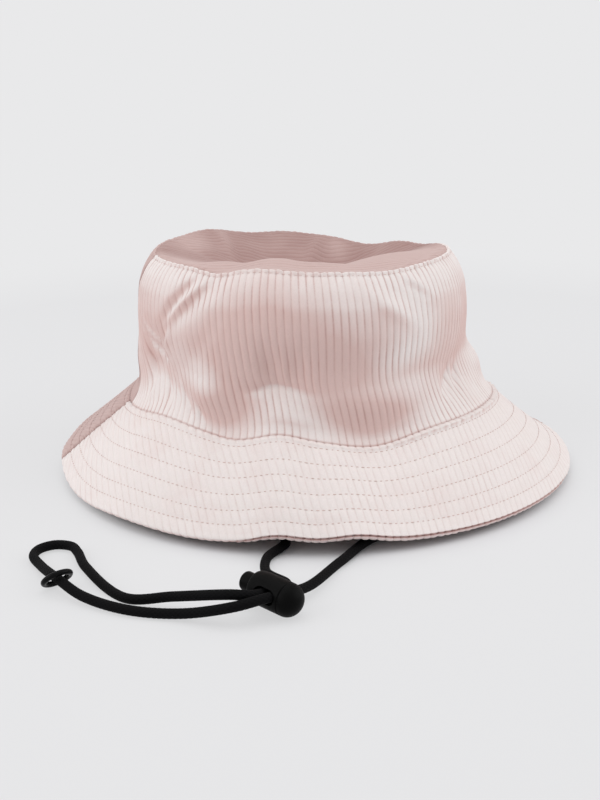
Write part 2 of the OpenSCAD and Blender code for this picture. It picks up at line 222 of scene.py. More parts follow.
left_tab, right_tab = (np.array((hat_x + side * tab_r, 0, tab_z)) for side in (-1, 1))
ring_at = np.array((-120.6, -124.9, 4.843))
route = np.array([
    left_tab + (0, 0, 6), left_tab + (0, 0, -1.2), left_tab + (0, -1.3, -5.8), left_tab + (-0.2, -4.8, -8.8),
    (-89.1, -11, 2.6), (-80, -56, floor_z), (-37, -89, floor_z), (-31.6, -102.5, floor_z),
    (-41.5, -117, floor_z), (-43.8, -131, 2.5), (-38.8, -145.5, 4.3),
    in_hole(1, 8), in_hole(1, 0), in_hole(1, -9),
    (-61.8, -163.2, 10.4), (-80, -149, 4.8), (-96, -141.5, floor_z), (-110, -111, floor_z),
    (-112.9, -96, floor_z), (-115.2, -89.9, floor_z), (-121.3, -87.1, floor_z), (-127.4, -89.9, floor_z),
    (-129.7, -96, floor_z), (-126.8, -106.5, 2.3), ring_at,
    (-111.5, -138, 2.8), (-96, -151, floor_z), (-78, -159, 2.8), (-61, -167.4, 7.6),
    in_hole(-1, -9), in_hole(-1, 0), in_hole(-1, 8),
    (-30.5, -147.6, 3.6), (-14.5, -126, floor_z), (4, -105.5, floor_z), (62, -75, floor_z), (85.1, -11, 2.6),
    right_tab + (0.2, -4.8, -8.8), right_tab + (0, -1.3, -5.8), right_tab + (0, 0, -1.2),
    right_tab + (0, 0, 6)])


def smooth_line(points, step):
    q = np.vstack((2 * points[0] - points[1], points, 2 * points[-1] - points[-2]))
    line = []
    for p0, p1, p2, p3 in zip(q, q[1:], q[2:], q[3:]):
        a, b, c = (math.sqrt(np.linalg.norm(v)) for v in (p1 - p0, p2 - p1, p3 - p2))
        leave = p2 - p1 + b * ((p1 - p0) / a - (p2 - p0) / (a + b))
        reach = p2 - p1 + b * ((p3 - p2) / c - (p3 - p1) / (b + c))
        n = max(1, round(b * b / step))
        t = np.arange(n)[:, None] / n
        line.append(p1 + t * leave + t**2 * (3 * (p2 - p1) - 2 * leave - reach)
                    + t**3 * (2 * (p1 - p2) + leave + reach))
    return np.vstack((*line, points[-1:]))


cord_line = smooth_line(route, 0.46)
cord_along = np.concatenate(([0], np.cumsum(np.linalg.norm(np.diff(cord_line, axis=0), axis=1))))
print(len(route), "route points,", len(cord_line), "rings, cord", round(cord_along[-1], 1), "mm long")

# %% [markdown]
# ## Braid
#
# Braided cord is two families of yarns that wind round it in opposite directions and pass over and under
# each other. Each family is a slanted wave round the cord, and the relief takes the higher of the two at
# every point. The same two waves, read from the UV map, paint shade into the gaps between the yarns in the
# material, so the relief and the colour agree.

# %% Braid material
yarns, yarn_step, yarn_relief = 8, 1.9, 0.10
braid, tree, shader = finish_named("black braid", 0.8, Sheen_Weight=0.01, Sheen_Roughness=0.4,
                                   Specular_IOR_Level=0.1)
uv = add(tree, "ShaderNodeSeparateXYZ", {0: add(tree, "ShaderNodeUVMap", uv_map="around_along").outputs[0]})
turns = sums(tree, "MULTIPLY", uv.outputs[0], 2 * math.pi * yarns)
steps = sums(tree, "MULTIPLY", uv.outputs[1], 2 * math.pi / (yarn_step * MM))
one = sums(tree, "COSINE", sums(tree, "ADD", turns, steps))
other = sums(tree, "COSINE", sums(tree, "SUBTRACT", turns, steps))
yarn = sums(tree, "MULTIPLY_ADD", sums(tree, "MAXIMUM", one, other), 0.5, 0.5, clamp=True)
lint = noise(tree, 2600.0, 3.0)
# painted shade: the gaps between the yarns are darker, and lint varies the tone at random
tone = sums(tree, "MULTIPLY", yarn, sums(tree, "MULTIPLY_ADD", lint, 0.9, 0.35))
fuzz = sums(tree, "MULTIPLY_ADD", lint, 0.5, yarn)
coloured(tree, shader, mixed(tree, tone, paint(2, 2, 3), paint(9, 8, 10)), fuzz, 0.5, 0.00012)
print("braid of", yarns, "yarns each way")


# %% Cord
def tube_sides(rings, sides):
    steps = [(k, (k + 1) % sides) for k in range(sides)]
    return [[i + k, i + after, i + sides + after, i + sides + k]
            for i in range(0, (rings - 1) * sides, sides) for k, after in steps]


def tube_faces(rings, sides):
    last = (rings - 1) * sides
    return tube_sides(rings, sides) + [list(range(sides))[::-1], list(range(last, last + sides))]


sides = 32
heading = np.gradient(cord_line, axis=0)
heading /= np.linalg.norm(heading, axis=1)[:, None]
across = [np.array((1.0, 0, 0))]
for h in heading:
    x = across[-1] - h * (across[-1] @ h)
    across.append(x / np.linalg.norm(x))
across = np.array(across[1:])
beside = np.cross(heading, across)
round_it = 2 * np.pi * np.arange(sides) / sides
wave_a = np.cos(yarns * round_it + 2 * np.pi / yarn_step * cord_along[:, None])
wave_b = np.cos(yarns * round_it - 2 * np.pi / yarn_step * cord_along[:, None])
relief = cord_d / 2 - yarn_relief + yarn_relief * np.maximum(wave_a, wave_b)
points = (cord_line[:, None] + relief[:, :, None] * (across[:, None] * np.cos(round_it)[None, :, None]
                                                     + beside[:, None] * np.sin(round_it)[None, :, None]))
n = len(cord_line)
chin_cord = mesh_piece("chin_cord_braid", points.reshape(-1, 3), tube_faces(n, sides), braid)
layer = chin_cord.data.uv_layers.new(name="around_along")
corner = corner_vertices(chin_cord)
uvs = np.stack((corner % sides / sides, cord_along[corner // sides] * MM), 1)
quad_corners = uvs[:(n - 1) * sides * 4].reshape(n - 1, sides, 4, 2)
quad_corners[:, -1, 1:3, 0] = 1
layer.data.foreach_set("uv", uvs.ravel())
belongs(chin_cord, "hat", ["chin_cord"])
print("cord:", len(chin_cord.data.polygons), "faces")

# %% [markdown]
# ## Toggle and ring
#
# The toggle is a moulded egg with a cross hole for both strands and a push button at one end. It is turned
# from a half outline, as on a lathe, and the holes are cut with booleans, as a mould's pins would leave them.
# A small bevel then rounds the sharp rims, because moulded plastic has no knife edges. The plastic is matte
# and nearly black, with a fine spark-eroded grain; the ring is the same black, polished.

# %% Plastic finishes
def moulded(name, dark, light, roughness, grain, specks):
    material, tree, shader = finish_named(name, roughness, Specular_IOR_Level=0.06)
    fine, wide = noise(tree, specks, 3.0), noise(tree, 180.0)
    tone = sums(tree, "MULTIPLY_ADD", fine, 0.5, sums(tree, "MULTIPLY", wide, 0.5))
    coloured(tree, shader, mixed(tree, tone, dark, light), fine, grain, 0.00006)
    tree.links.new(sums(tree, "MULTIPLY_ADD", wide, 0.16, roughness - 0.08), shader.inputs["Roughness"])
    return material


matte_plastic = moulded("matte black plastic", paint(2, 2, 2), paint(5, 5, 5), 0.5, 0.5, 3200.0)
gloss_plastic = moulded("polished black plastic", paint(10, 10, 11), paint(18, 18, 19), 0.2, 0.12, 1500.0)
print("plastics:", matte_plastic.name, "/", gloss_plastic.name)


# %% Tools to turn, drill and place a piece
def tidy_normals(mesh):
    work = bmesh.new()
    work.from_mesh(mesh)
    bmesh.ops.remove_doubles(work, verts=work.verts, dist=1e-7)
    bmesh.ops.recalc_face_normals(work, faces=work.faces)
    work.to_mesh(mesh)
    work.free()


def turned(name, outline, count=96):
    angle = 2 * np.pi * np.arange(count) / count
    pts = [(x, r * math.cos(a), r * math.sin(a)) for r, x in outline for a in angle]
    pts += [(outline[0][1], 0, 0), (outline[-1][1], 0, 0)]
    middle, last = len(outline) * count, (len(outline) - 1) * count
    fans = [[middle, (k + 1) % count, k] for k in range(count)]
    fans += [[middle + 1, last + k, last + (k + 1) % count] for k in range(count)]
    piece = mesh_piece(name, pts, tube_sides(len(outline), count) + fans)
    tidy_normals(piece.data)
    return piece


def slot_cutter(start, end, room):
    half = hole_w / 2 + room
    arc = np.radians(np.arange(0, 181, 7.5))
    ring = [(end + room - half + half * math.sin(a), half * math.cos(a)) for a in arc]
    ring += [(start - room + half - half * math.sin(a), -half * math.cos(a)) for a in arc]
    m = len(ring)
    pts = [(x, y, z) for y in (-toggle_d, toggle_d) for x, z in ring]
    walls = [[k, (k + 1) % m, m + (k + 1) % m, m + k] for k in range(m)]
    piece = mesh_piece("slot_cutter", pts, walls + [list(range(m))[::-1], [m + k for k in range(m)]])
    tidy_normals(piece.data)
    return piece


def cut_and_place(piece, cutters, soften, material):
    for cutter in cutters:
        piece.modifiers.new("cut", "BOOLEAN").object = cutter
    edge = piece.modifiers.new("softened edges", "BEVEL")
    edge.width, edge.segments, edge.limit_method, edge.angle_limit = soften * MM, 3, "ANGLE", math.radians(40)
    made = applied(piece)
    for cutter in cutters:
        bpy.data.objects.remove(cutter)
    made.transform(toggle_place)
    made.set_sharp_from_angle(angle=math.radians(50))
    made.materials.clear()
    made.materials.append(material)


print("tools to turn, drill and place are ready")

# %% Toggle and its button
toggle_place = (Matrix.Translation(Vector(toggle_at) * MM) @ Matrix.Rotation(toggle_yaw, 4, "Z")
                @ Matrix.Rotation(-toggle_tilt, 4, "Y") @ Matrix.Rotation(toggle_roll, 4, "X"))
toggle_d, toggle_l, button_d, button_out, button_travel = 12.4, 20.5, 7.2, 5.5, 2.3
hole_from_end, floor_t, heel_t, cord_room, button_play = 12.0, 2.4, 1.5, 0.45, 0.15
hole_l = strand_pitch + cord_d + 0.7
hole_w = cord_d + 0.9
body_to = toggle_l - hole_from_end
bore_from = floor_t - hole_from_end
button_from = -hole_l / 2 - heel_t
groove_at, groove_w, groove_depth = 5.6, 0.8, 0.35
half_d, bore_r, mouth_wall, crown_round = toggle_d / 2, button_d / 2 + button_play, 1.3, 1.2
mouth_r = bore_r + mouth_wall

dome = [(half_d * math.sin(t), -hole_from_end + groove_at * (1 - math.cos(t)))
        for t in np.radians(np.linspace(0.5, 90, 24))]
parting = [(half_d - groove_depth * math.sin(t), groove_at - hole_from_end + groove_w * t / math.pi)
           for t in np.linspace(0.2, math.pi, 9)]
taper = [(half_d - (half_d - mouth_r) * (1 - math.cos(t)), body_to * (0.35 + 0.65 * math.sin(t)))
         for t in np.radians(np.linspace(0, 90, 20))]
body_bore = turned("bore_cutter", [(bore_r, bore_from), (bore_r, toggle_l)], 64)
cross_hole = slot_cutter(-hole_l / 2, hole_l / 2, cord_room)
toggle_shell = turned("toggle_shell", dome + parting + taper)
cut_and_place(toggle_shell, [body_bore, cross_hole], 0.28, matte_plastic)
belongs(toggle_shell, "toggle", ["toggle_body"])

tip = body_to + button_out
crown_of_button = [(button_d / 2 - crown_round * (1 - math.cos(t)), tip - crown_round * (1 - math.sin(t)))
                   for t in np.radians(np.linspace(0, 90, 12))]
button_hole = slot_cutter(-hole_l / 2, hole_l / 2 + button_travel, cord_room)
push_button = turned("push_button", [(button_d / 2, button_from), *crown_of_button], 72)
cut_and_place(push_button, [button_hole], 0.2, matte_plastic)
belongs(push_button, "button", ["toggle_button"])
print("toggle:", len(toggle_shell.data.polygons), "faces, button:", len(push_button.data.polygons), "faces")


# %% Ring on the cord
def hoop_faces(rings, sides):
    starts = [(i * sides, (i + 1) % rings * sides) for i in range(rings)]
    return [[i + k, after + k, after + (k + 1) % sides, i + (k + 1) % sides]
            for i, after in starts for k in range(sides)]


ring_mid_r, ring_wire, ring_steps, ring_sides = 5.1, 2.2, 96, 24
ring_yaw, ring_lean = math.radians(116), math.radians(44)
major = 2 * np.pi * np.arange(ring_steps)[:, None] / ring_steps
minor = 2 * np.pi * np.arange(ring_sides) / ring_sides
tube_r = ring_mid_r + ring_wire / 2 * np.cos(minor)
tube_z = ring_wire / 2 * np.sin(minor) + 0 * major
hoop = np.stack((tube_r * np.cos(major), tube_r * np.sin(major), tube_z), -1)
faces = hoop_faces(ring_steps, ring_sides)
cord_ring = mesh_piece("polished_ring", hoop.reshape(-1, 3), faces, gloss_plastic)
cord_ring.data.transform(Matrix.Translation(Vector(ring_at) * MM) @ Matrix.Rotation(ring_yaw, 4, "Z")
                         @ Matrix.Rotation(ring_lean, 4, "Y"))
belongs(cord_ring, "ring", ["cord_ring"])
print("ring faces:", len(cord_ring.data.polygons))

# %% Spring under the button, which shortens when the button is pressed
spring_steel, tree, shader = finish_named("spring wire", 0.28, Metallic=1.0)
coloured(tree, shader, mixed(tree, noise(tree, 900.0), paint(150, 150, 152), paint(205, 205, 206)))
spring_wire, spring_turns, steps_a_turn, wire_sides, spring_play = 0.4, 2.5, 24, 8, 0.06
coil_r, slack = button_d / 2 - 0.7, 0.9
low = bore_from + spring_wire / 2 + spring_play
high = button_from - spring_wire / 2 - spring_play
steps = int(spring_turns * steps_a_turn)
turn_at = 2 * np.pi * np.arange(steps + 1)[:, None] / steps_a_turn
wire_at = 2 * np.pi * np.arange(wire_sides) / wire_sides
wire_out = coil_r + spring_wire / 2 * np.cos(wire_at)
wire_x = np.linspace(low, high, steps + 1)[:, None] + spring_wire / 2 * np.sin(wire_at)
coil = np.stack((wire_x, wire_out * np.cos(turn_at), wire_out * np.sin(turn_at)), -1)
spring = mesh_piece("button_spring", coil.reshape(-1, 3), tube_faces(steps + 1, wire_sides), spring_steel)
tidy_normals(spring.data)
spring.data.transform(toggle_place)
belongs(spring, "toggle", ["toggle_spring"])
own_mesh(spring)

# %% [markdown]
# ## The cord's ends
#
# Here the whole cord shows or lies under the brim, and both ends go into the hat, so its far end is the
# object itself.

print("cord exit", [round(float(c), 1) for c in route[0]], "mm")

# %% [markdown]
# ## The hat's lines
#
# A soft hat is a few rings at different heights - the brim's edge, the crown seam, the rim - with cloth
# stretched between them. Nothing on it is quite round or level. Each ring's height is a plain number plus a
# few soft waves, each with an angle, a half-width and a height: 270 degrees is the front, and 0 is on the
# right of the picture. These are the numbers of the CAD part, so the dressed hat lies where its solids lie.

# %% Rings of the hat
head_r, band_r, seam_r, brim_in_r, rim_r, brim_r = 81.169, 81.869, 84.069, 84.369, 66.569, 118.0
seam_z, crown_h, brim_stack, foot_top = 36.5, 62.0, 4.37, 31.5
seam_turn, front = 4, 270
left_seam = 180 + seam_turn
edge_z, rim_tilt, rim_tilt_at, brim_swell = 0.6, 1.6, 250, 1.2
seam_at, lean = np.array((hat_x, 0.0)), np.array((-3.5, 0.5))
edge_waves = ((262, 22, 2.2), (252, 6, 2.4), (267, 6, 2.1), (219, 10, 0.7), (200, 9, -0.8), (332, 14, -0.8),
              (178, 10, 3), (148, 22, 5), (100, 14, -0.8), (50, 18, -0.8))
seam_waves = ((213, 12, 2.5), (237, 7, -1.5), (251, 7, 2.2), (277, 13, -4.2), (178, 14, -2),
              (163, 24, -1.6), (18, 34, -6))
rim_waves = ((228, 8, -1.8), (246, 12, 1.5), (292, 14, -1.2), (20, 14, -3.3), (50, 17, -7), (75, 13, -2.2),
             (100, 13, -1.5), (125, 14, 2.3), (150, 14, 0.9))
swell_waves, reach_waves = ((18, 30, -5), (160, 25, -2)), ((45, 20, -6), (22, 14, -3))


def soft(d, w):
    return np.exp(-((d / w) ** 2))


def turn(a, b):
    return (a - b + 540) % 360 - 180


def ease(x):
    t = np.clip(x, 0, 1)
    return t * t * (3 - 2 * t)


def waves(rows, a):
    return sum(h * soft(turn(a, c), w) for c, w, h in rows)


def edge_height(a):
    return np.maximum(0, edge_z + waves(edge_waves, a))


def seam_height(a):
    return seam_z + waves(seam_waves, a)


def rim_height(a):
    return seam_z + crown_h + rim_tilt * np.cos(np.radians(a - rim_tilt_at)) + waves(rim_waves, a)


def pucker(a, k):
    turns = np.radians(a)
    ripples = ((1, 41, 0.4), (0.8, 67, 1.9), (0.6, 103, 4.1))  # height, count round the hat, start
    return sum(h * np.sin(count * k * turns + start) for h, count, start in ripples) / 2.4


def on_ring(middle_x, middle_y, r, a, z):
    return np.stack((middle_x + r * np.cos(np.radians(a)), middle_y + r * np.sin(np.radians(a)), z), -1)


def outward(a):
    return on_ring(0, 0, 1, a, 0 * a)


rim_now = rim_height(np.arange(360))
print("rim from", round(rim_now.min(), 1), "to", round(rim_now.max(), 1), "mm")

# %% [markdown]
# ## Crown side and its folds
#
# The crown's side slumps: it comes in above the seam, swells again, and rounds over to the rim. Cloth
# simulation could find such a shape, but not this particular one, and it would move the seams off the CAD
# part. So the folds are placed one by one. A fold is a soft bump or dent with an angle, a height, a width
# both ways and a slant, as one would push clay with a thumb. Where the seam dips, the wall stands upright on
# it;
# where the seam rises, the wall flares.

# %% Shape of the crown's side
side_folds = (  # angle, part of the height, half-widths of both, depth, slant in degrees for the whole height
    (262, 0.45, 30, 0.20, -1.5, 0), (253, 0.36, 6, 0.14, -3.0, 0), (253, 0.10, 8, 0.10, 1.5, 0),
    (220, 0.80, 5, 0.25, -2.2, 45), (203, 0.30, 6, 0.20, -2.0, -20), (315, 0.22, 6, 0.12, -2.0, 25),
    (296, 0.85, 6, 0.12, -1.2, -40), (120, 0.40, 9, 0.25, -2.5, 20), (70, 0.45, 9, 0.20, -2.5, -25),
    (248.5, 0.43, 2.6, 0.14, -1.4, 0), (259, 0.42, 3.2, 0.14, -1.3, 0), (253.6, 0.38, 1.3, 0.12, 0.9, 0),
    (250, 0.275, 8, 0.03, -1.8, 0), (226, 0.55, 4, 0.20, -0.6, 30),
    (194, 0.30, 2.6, 0.16, -4.2, -12), (202, 0.47, 3.5, 0.10, -2.6, -40), (199, 0.12, 4, 0.08, 1.2, 0),
    (209.5, 0.12, 1.6, 0.10, -1.5, -25), (219.5, 0.11, 1.5, 0.09, -1.6, -25),
    (225.5, 0.09, 1.4, 0.08, -1.2, -25), (214.5, 0.13, 1.4, 0.09, -0.8, -25),
    (314, 0.21, 1.6, 0.08, -1.5, 36), (320, 0.22, 1.6, 0.08, -1.4, 36), (309, 0.17, 1.6, 0.07, -0.8, 36),
    (288, 0.82, 4, 0.10, 1.0, -50), (333, 0.60, 5, 0.20, -0.5, 0),
    (352, 0.24, 18, 0.13, 5.4, 0), (172, 0.28, 16, 0.15, 3.2, 0))
tucks = (  # one side of a tuck sinks and the other stands up: the same numbers, and a depth
    (217.5, 0.84, 2.8, 0.19, 1.6, 43), (198, 0.48, 2.6, 0.10, 1.3, -80), (208, 0.50, 2.4, 0.13, 1.0, 18),
    (300, 0.92, 3.0, 0.07, 0.7, -60))
upright = ((229, 9), (281, 17))  # where the wall stands straight on its seam: angle, half-width
tuck_gain = 2.3
calm_foot, calm_rim = 6, 0.1  # the folds die out in so many millimetres, and in this part of the height
fuller_front, fuller_w = 4.6, 48
straight_foot, straight_at, straight_h, straight_from = 5.6, 0.24, 0.15, 0.06
waist_in, waist_rise = 11, 22
belly, belly_from, belly_h = 1.4, 0.35, 0.5
rim_in, rim_in_from, rim_in_h = 6.5, 0.8, 0.2
rim_pucker, rim_pucker_w, foot_pull, foot_pull_w = 0.30, 5, 0.1, 0.7
bead_h, bead_vary, bead_w, bead_least = 0.55, 0.35, 0.8, 0.35
bead_to, bead_fade = 60, 40  # the bead along the rim is full this many degrees from the front, then fades
rim_slope = 88  # millimetres of cloth near the rim for the whole of the height
rim_row, rim_row_pull, rim_row_w = 0.9, 0.25, 0.6
roll_r, roll_turn, roll_h = 0.9, np.radians(150), 0.084
hem_in, hem_h, hem_fall = 0.9, 0.03, 60  # below its seam the cloth goes in, behind the brim
lean_h = 0.4
rim_out, rim_up = 0.69, 0.72  # which way the rounded rim faces


def folded(r, a, part, fade):
    for f in side_folds:
        r = r + fade * f[4] * soft(turn(a, f[0] + f[5] * (part - f[1])), f[2]) * soft(part - f[1], f[3])
    for f in tucks:
        aside = turn(a, f[0] + f[5] * (part - f[1])) / f[2]
        r = r + fade * f[4] * tuck_gain * aside * soft(aside, 1) * soft(part - f[1], f[3])
    return r


def wall_shape(a, u):
    """A point of the crown's side, u = 0 at its seam and 1 at the rim; past 1 it rolls over the rim."""
    foot, rim = seam_height(a), rim_height(a)
    part = np.clip(u, 0, 1)
    z = foot + part * (rim - foot)
    rise = z - np.maximum(foot, foot_top + 0.3)
    r = seam_r - waist_in * (1 - (1 - np.clip(rise / waist_rise, 0, 1)) ** 2)
    r = r + belly * np.sin(np.pi * np.clip((part - belly_from) / belly_h, 0, 1))
    r = r - rim_in * np.clip((part - rim_in_from) / rim_in_h, 0, 1) ** 2
    r = folded(r, a, part, np.clip(rise / calm_foot, 0, 1) * np.clip((1 - part) / calm_rim, 0, 1))
    full_part = np.clip((part - 0.05) / 0.95, 0, 1)
    r = r + fuller_front * soft(turn(a, front), fuller_w) * np.sin(np.pi * full_part)
    for c, w in upright:
        straight = soft(part - straight_at, straight_h) * np.clip(part / straight_from, 0, 1)
        r = r + straight_foot * soft(turn(a, c), w) * straight
    below_rim = (1 - part) * rim_slope
    r = r + rim_pucker * pucker(a, 1) * soft(below_rim, rim_pucker_w)
    r = r - foot_pull * soft((z - foot) / foot_pull_w, 1)
    seen_rim = bead_least + (1 - bead_least) * ease((bead_to - np.abs(turn(a, front))) / bead_fade + 1)
    bead = seen_rim * (bead_h + bead_vary * pucker(a, 1.3)) * soft(below_rim, bead_w)
    bead = bead - rim_row_pull * soft(below_rim - rim_row, rim_row_w)
    r, z = r + rim_out * bead, z + rim_up * bead + roll_r * ease((part - 0.85) / 0.15)
    roll = roll_turn * np.clip((u - 1) / roll_h, 0, 1)
    r = r + roll_r * (rim_out * (np.cos(roll) - 1) - rim_up * np.sin(roll))
    z = z + roll_r * (rim_up * (np.cos(roll) - 1) + rim_out * np.sin(roll))
    r, z = r - hem_in * ease(-u / hem_h), z + hem_fall * np.minimum(u, 0)
    k = ease(u / lean_h)
    return on_ring(seam_at[0] + lean[0] * k, seam_at[1] + lean[1] * k, r, a, z)


print("front of the crown at half height: y =", round(float(wall_shape(float(front), 0.5)[1]), 1), "mm")

# %% [markdown]
# ## Top of the crown
#
# The top is a disc of cloth, sewn in at the rim and sunk in the middle. Its front stands up as a soft crest
# behind the rim, and its back half lies in a few loose creases.

# %% Shape of the top
top_folds = (  # x, y, half-widths, height, turn in degrees
    (-38, 24, 10, 14, 2.5, 0), (-20, 20, 9, 16, -1.5, 0), (30, 30, 14, 12, -2.5, 0), (10, -42, 40, 9, 1.6, 0),
    (-10, -34, 50, 14, 4.4, 0), (36, -16, 22, 18, 4.6, -20), (0, 20, 46, 22, -6.4, 0),
    (-31, 44, 2.6, 18, 2.4, 8), (-25, 46, 3, 16, -1.8, 8), (16, 50, 3, 16, 2.8, -22),
    (23, 48, 4, 14, -1.8, -22), (34, 30, 3.5, 18, 1.8, -24), (-44, 22, 3, 16, -1.4, 40),
    (-36, -36, 16, 11, 3.4, 0), (-14, -8, 30, 4, -1.0, 8), (22, -12, 26, 4, -0.9, -10))
top_r, rim_flat, top_lift, top_sag, sag_power = 65.5, 1.6, 1.7, 10, 1.7
calm_part = 0.6  # the rim's waves die out from this part of the radius to the middle
sunk_least, sunk_front, sunk_at, sunk_turn, sunk_w = 0.5, 1.7, 265, 62, 1.6  # the seam inside the rim
top_pucker, top_pucker_in = 0.35, 3


def top_shape(x, y):
    r, a = np.hypot(x, y), np.degrees(np.arctan2(y, x)) % 360
    s = np.clip(r / (rim_r - rim_flat), 0, 1)
    level = seam_z + crown_h
    z = level + (rim_height(a) - level) * ease(s / calm_part) + top_lift - top_sag * (1 - s**sag_power)
    for f in top_folds:
        c, d = math.cos(math.radians(f[5])), math.sin(math.radians(f[5]))
        p, q = (x - f[0]) * c + (y - f[1]) * d, (y - f[1]) * c - (x - f[0]) * d
        z = z + (1 - s**4) * f[4] * soft(p, f[2]) * soft(q, f[3])
    sunk = sunk_least + sunk_front * soft(turn(a, sunk_at), sunk_turn)
    z = z - sunk * soft(top_r - r, sunk_w)
    z = z + top_pucker * pucker(a, 1) * soft(top_r - r - top_pucker_in, top_pucker_in)
    return np.stack((seam_at[0] + lean[0] + x, seam_at[1] + lean[1] + y, z), -1)


for name, y in (("rim", -63.0), ("crest", -34.0), ("middle", 5.0)):
    print("top:", name, "at", round(float(top_shape(0.0, y)[2]), 1), "mm")

# %% [markdown]
# ## Brim and its rolled edge
#
# The brim has two layers of corduroy with a stiffener between, quilted together by rows of stitching. Between
# two rows the cloth puffs up a little, and at each row it is pulled down. Outside, the two layers roll
# towards each other and meet in a groove, a little above the very edge, so the under layer shows as a lip.

# %% Shape of the brim
slant, roll_inset = 45.8, 1.65
stitch_rows = (3.4, 12.2, 19.6, 27.2, 34.2, 40.2)
middle_t = (brim_r - roll_inset - brim_in_r) / (brim_r - brim_in_r)
quilt, quilt_w = 0.22, 0.9  # how far a row of stitches pulls the cloth down, and the brim puffs up
welt_least, welt_more, welt_from, welt_over = 0.2, 0.6, 250, 50  # the welt at the crown seam, and its angles
welt_vary, welt_at, welt_w = 0.8, 1.4, 0.9
tuck_down, tuck_down_w, tuck_in, tuck_in_w = 0.1, 0.45, 0.45, 0.5  # the seam pulls the cloth down and in
open_from, open_to, open_fade = 238, 338, 14  # angles between which the under layer's lip shows
groove_turn, groove_open = 115, 65  # degrees round the roll to the groove, and how many less where it is open
lip_swell, lip_pucker, lip_end = 0.35, 0.12, 1.3


def brim_face(a, t, height):
    bulge = brim_swell + waves(swell_waves, a)
    r = brim_in_r + t * (brim_r + waves(reach_waves, a) - brim_in_r)
    z = (1 - t) * (seam_height(a) - brim_stack) + t * edge_height(a) + bulge * np.sin(np.pi * t) + height
    return r, z


def brim_edge(a, over):
    """Slope of the brim at its edge, radius of the roll, where it starts and how far a layer goes round."""
    r0, z0 = brim_face(a, middle_t - 0.01, brim_stack / 2)
    r1, z1 = brim_face(a, middle_t + 0.01, brim_stack / 2)
    slope = np.arctan2(z0 - z1, r1 - r0)
    radius = brim_stack / 2 * np.cos(slope)
    start = slant * (middle_t + over * radius * np.sin(slope) / (brim_r - brim_in_r))
    open_lip = ease((a % 360 - open_from) / open_fade) * ease((open_to - a % 360) / open_fade)
    groove = np.radians(groove_turn - groove_open * open_lip)
    return slope, radius, start, groove if over > 0 else np.pi - groove


def brim_shape(a, s, over):
    """A point of the brim, s millimetres down its slope from the crown seam; over is 1 above, -1 below."""
    slope, radius, face_end, last = brim_edge(a, over)
    r, z = brim_face(a, np.minimum(s, face_end) / slant, brim_stack * (1 + over) / 2)
    puff = sum(-quilt * soft(s - row, quilt_w) for row in stitch_rows)
    puff = puff + quilt * np.sin(np.pi * np.clip(s / slant, 0, 1))
    welt = welt_least + welt_more * ease((a % 360 - welt_from) / welt_over)
    welt = welt * (1 + welt_vary * pucker(a, 2.2))
    puff = puff - tuck_down * soft(s, tuck_down_w) + welt * soft(s - welt_at, welt_w)
    across_r, across_z = np.sin(slope) * over, np.cos(slope) * over
    along_r, along_z = np.cos(slope), -np.sin(slope)
    r, z = r + puff * across_r - tuck_in * soft(s, tuck_in_w), z + puff * across_z
    bend = (s - face_end) / radius
    angle = np.clip(bend, 0, last)
    swell = lip_swell * np.sin(np.clip(angle / last, 0, 1) * np.pi) + lip_pucker * pucker(a, 2)
    lip = radius + swell * ease(bend) - lip_end * ease((bend - last + 0.35) / 0.7)
    turned_r = lip * (across_r * np.cos(angle) + along_r * np.sin(angle)) - radius * across_r
    turned_z = lip * (across_z * np.cos(angle) + along_z * np.sin(angle)) - radius * across_z
    r, z = r + np.where(bend > 0, turned_r, 0), z + np.where(bend > 0, turned_z, 0)
    k = 1 - np.clip(s / slant, 0, 1)
    return on_ring(seam_at[0] * k, seam_at[1] * k, r, a, z)


for over, name in ((1, "top"), (-1, "under")):
    end = brim_shape(np.array([float(front)]), np.array([50.0]), over)[0]
    print("brim", name, "ends at radius", round(float(np.hypot(*end[:2])), 1), "mm in front")

# %% [markdown]
# ## Corduroy
#
# Corduroy has raised cords of pile, the wales, with thin grooves between them where the ground weave shows,
# a little darker and browner; the grooves' colour carries painted shade as well. A texture could paint
# stripes, but real relief gives the scalloped edges and the shadows. The wales run straight through the flat
# piece of cloth before it is sewn, so the mesh is laid out on the sewing pattern: its columns are lines along
# the grain, close together at a groove and wide apart on a wale. A Geometry Nodes tree then presses the
# grooves in. It reads four attributes of the mesh: `grain`, the place across the wales; `out`, which way the
# cloth faces; `shown`, which is 0 on the back of the cloth and less than 1 where stitches flatten the pile;
# and `crease`, painted shade at the seams and in the groove of the brim's edge. It keeps the grooves'
# darkness, with that painted shade, as an attribute, and the material reads it for the colour.

# %% Geometry Nodes tree for the wales
def new_tree(name, sockets):
    tree = bpy.data.node_groups.new(name, "GeometryNodeTree")
    for label, kind in sockets:
        tree.interface.new_socket(label, in_out="INPUT", socket_type="NodeSocket" + kind)
    tree.interface.new_socket("Geometry", in_out="OUTPUT", socket_type="NodeSocketGeometry")
    return tree, tree.nodes.new("NodeGroupInput").outputs


def end_tree(tree, geometry, finish):
    real = add(tree, "GeometryNodeRealizeInstances", {0: geometry}).outputs[0]
    done = add(tree, "GeometryNodeSetMaterial", {"Geometry": real, "Material": finish}).outputs[0]
    tree.links.new(done, tree.nodes.new("NodeGroupOutput").inputs[0])


def named(tree, name, kind="FLOAT"):
    return add(tree, "GeometryNodeInputNamedAttribute", {"Name": name}, data_type=kind).outputs[0]


wales, given = new_tree("corduroy wales", (
    ("Geometry", "Geometry"), ("Wale pitch", "Float"), ("Wale height", "Float"), ("Groove width", "Float"),
    ("Groove tint", "Float"), ("Nap", "Float"), ("Finish", "Material")))


def field(scale, detail, seed):
    place = add(wales, "GeometryNodeInputPosition").outputs[0]
    inputs = {"Vector": place, "W": seed, "Scale": scale, "Detail": detail}
    return add(wales, "ShaderNodeTexNoise", inputs, noise_dimensions="4D").outputs[0]


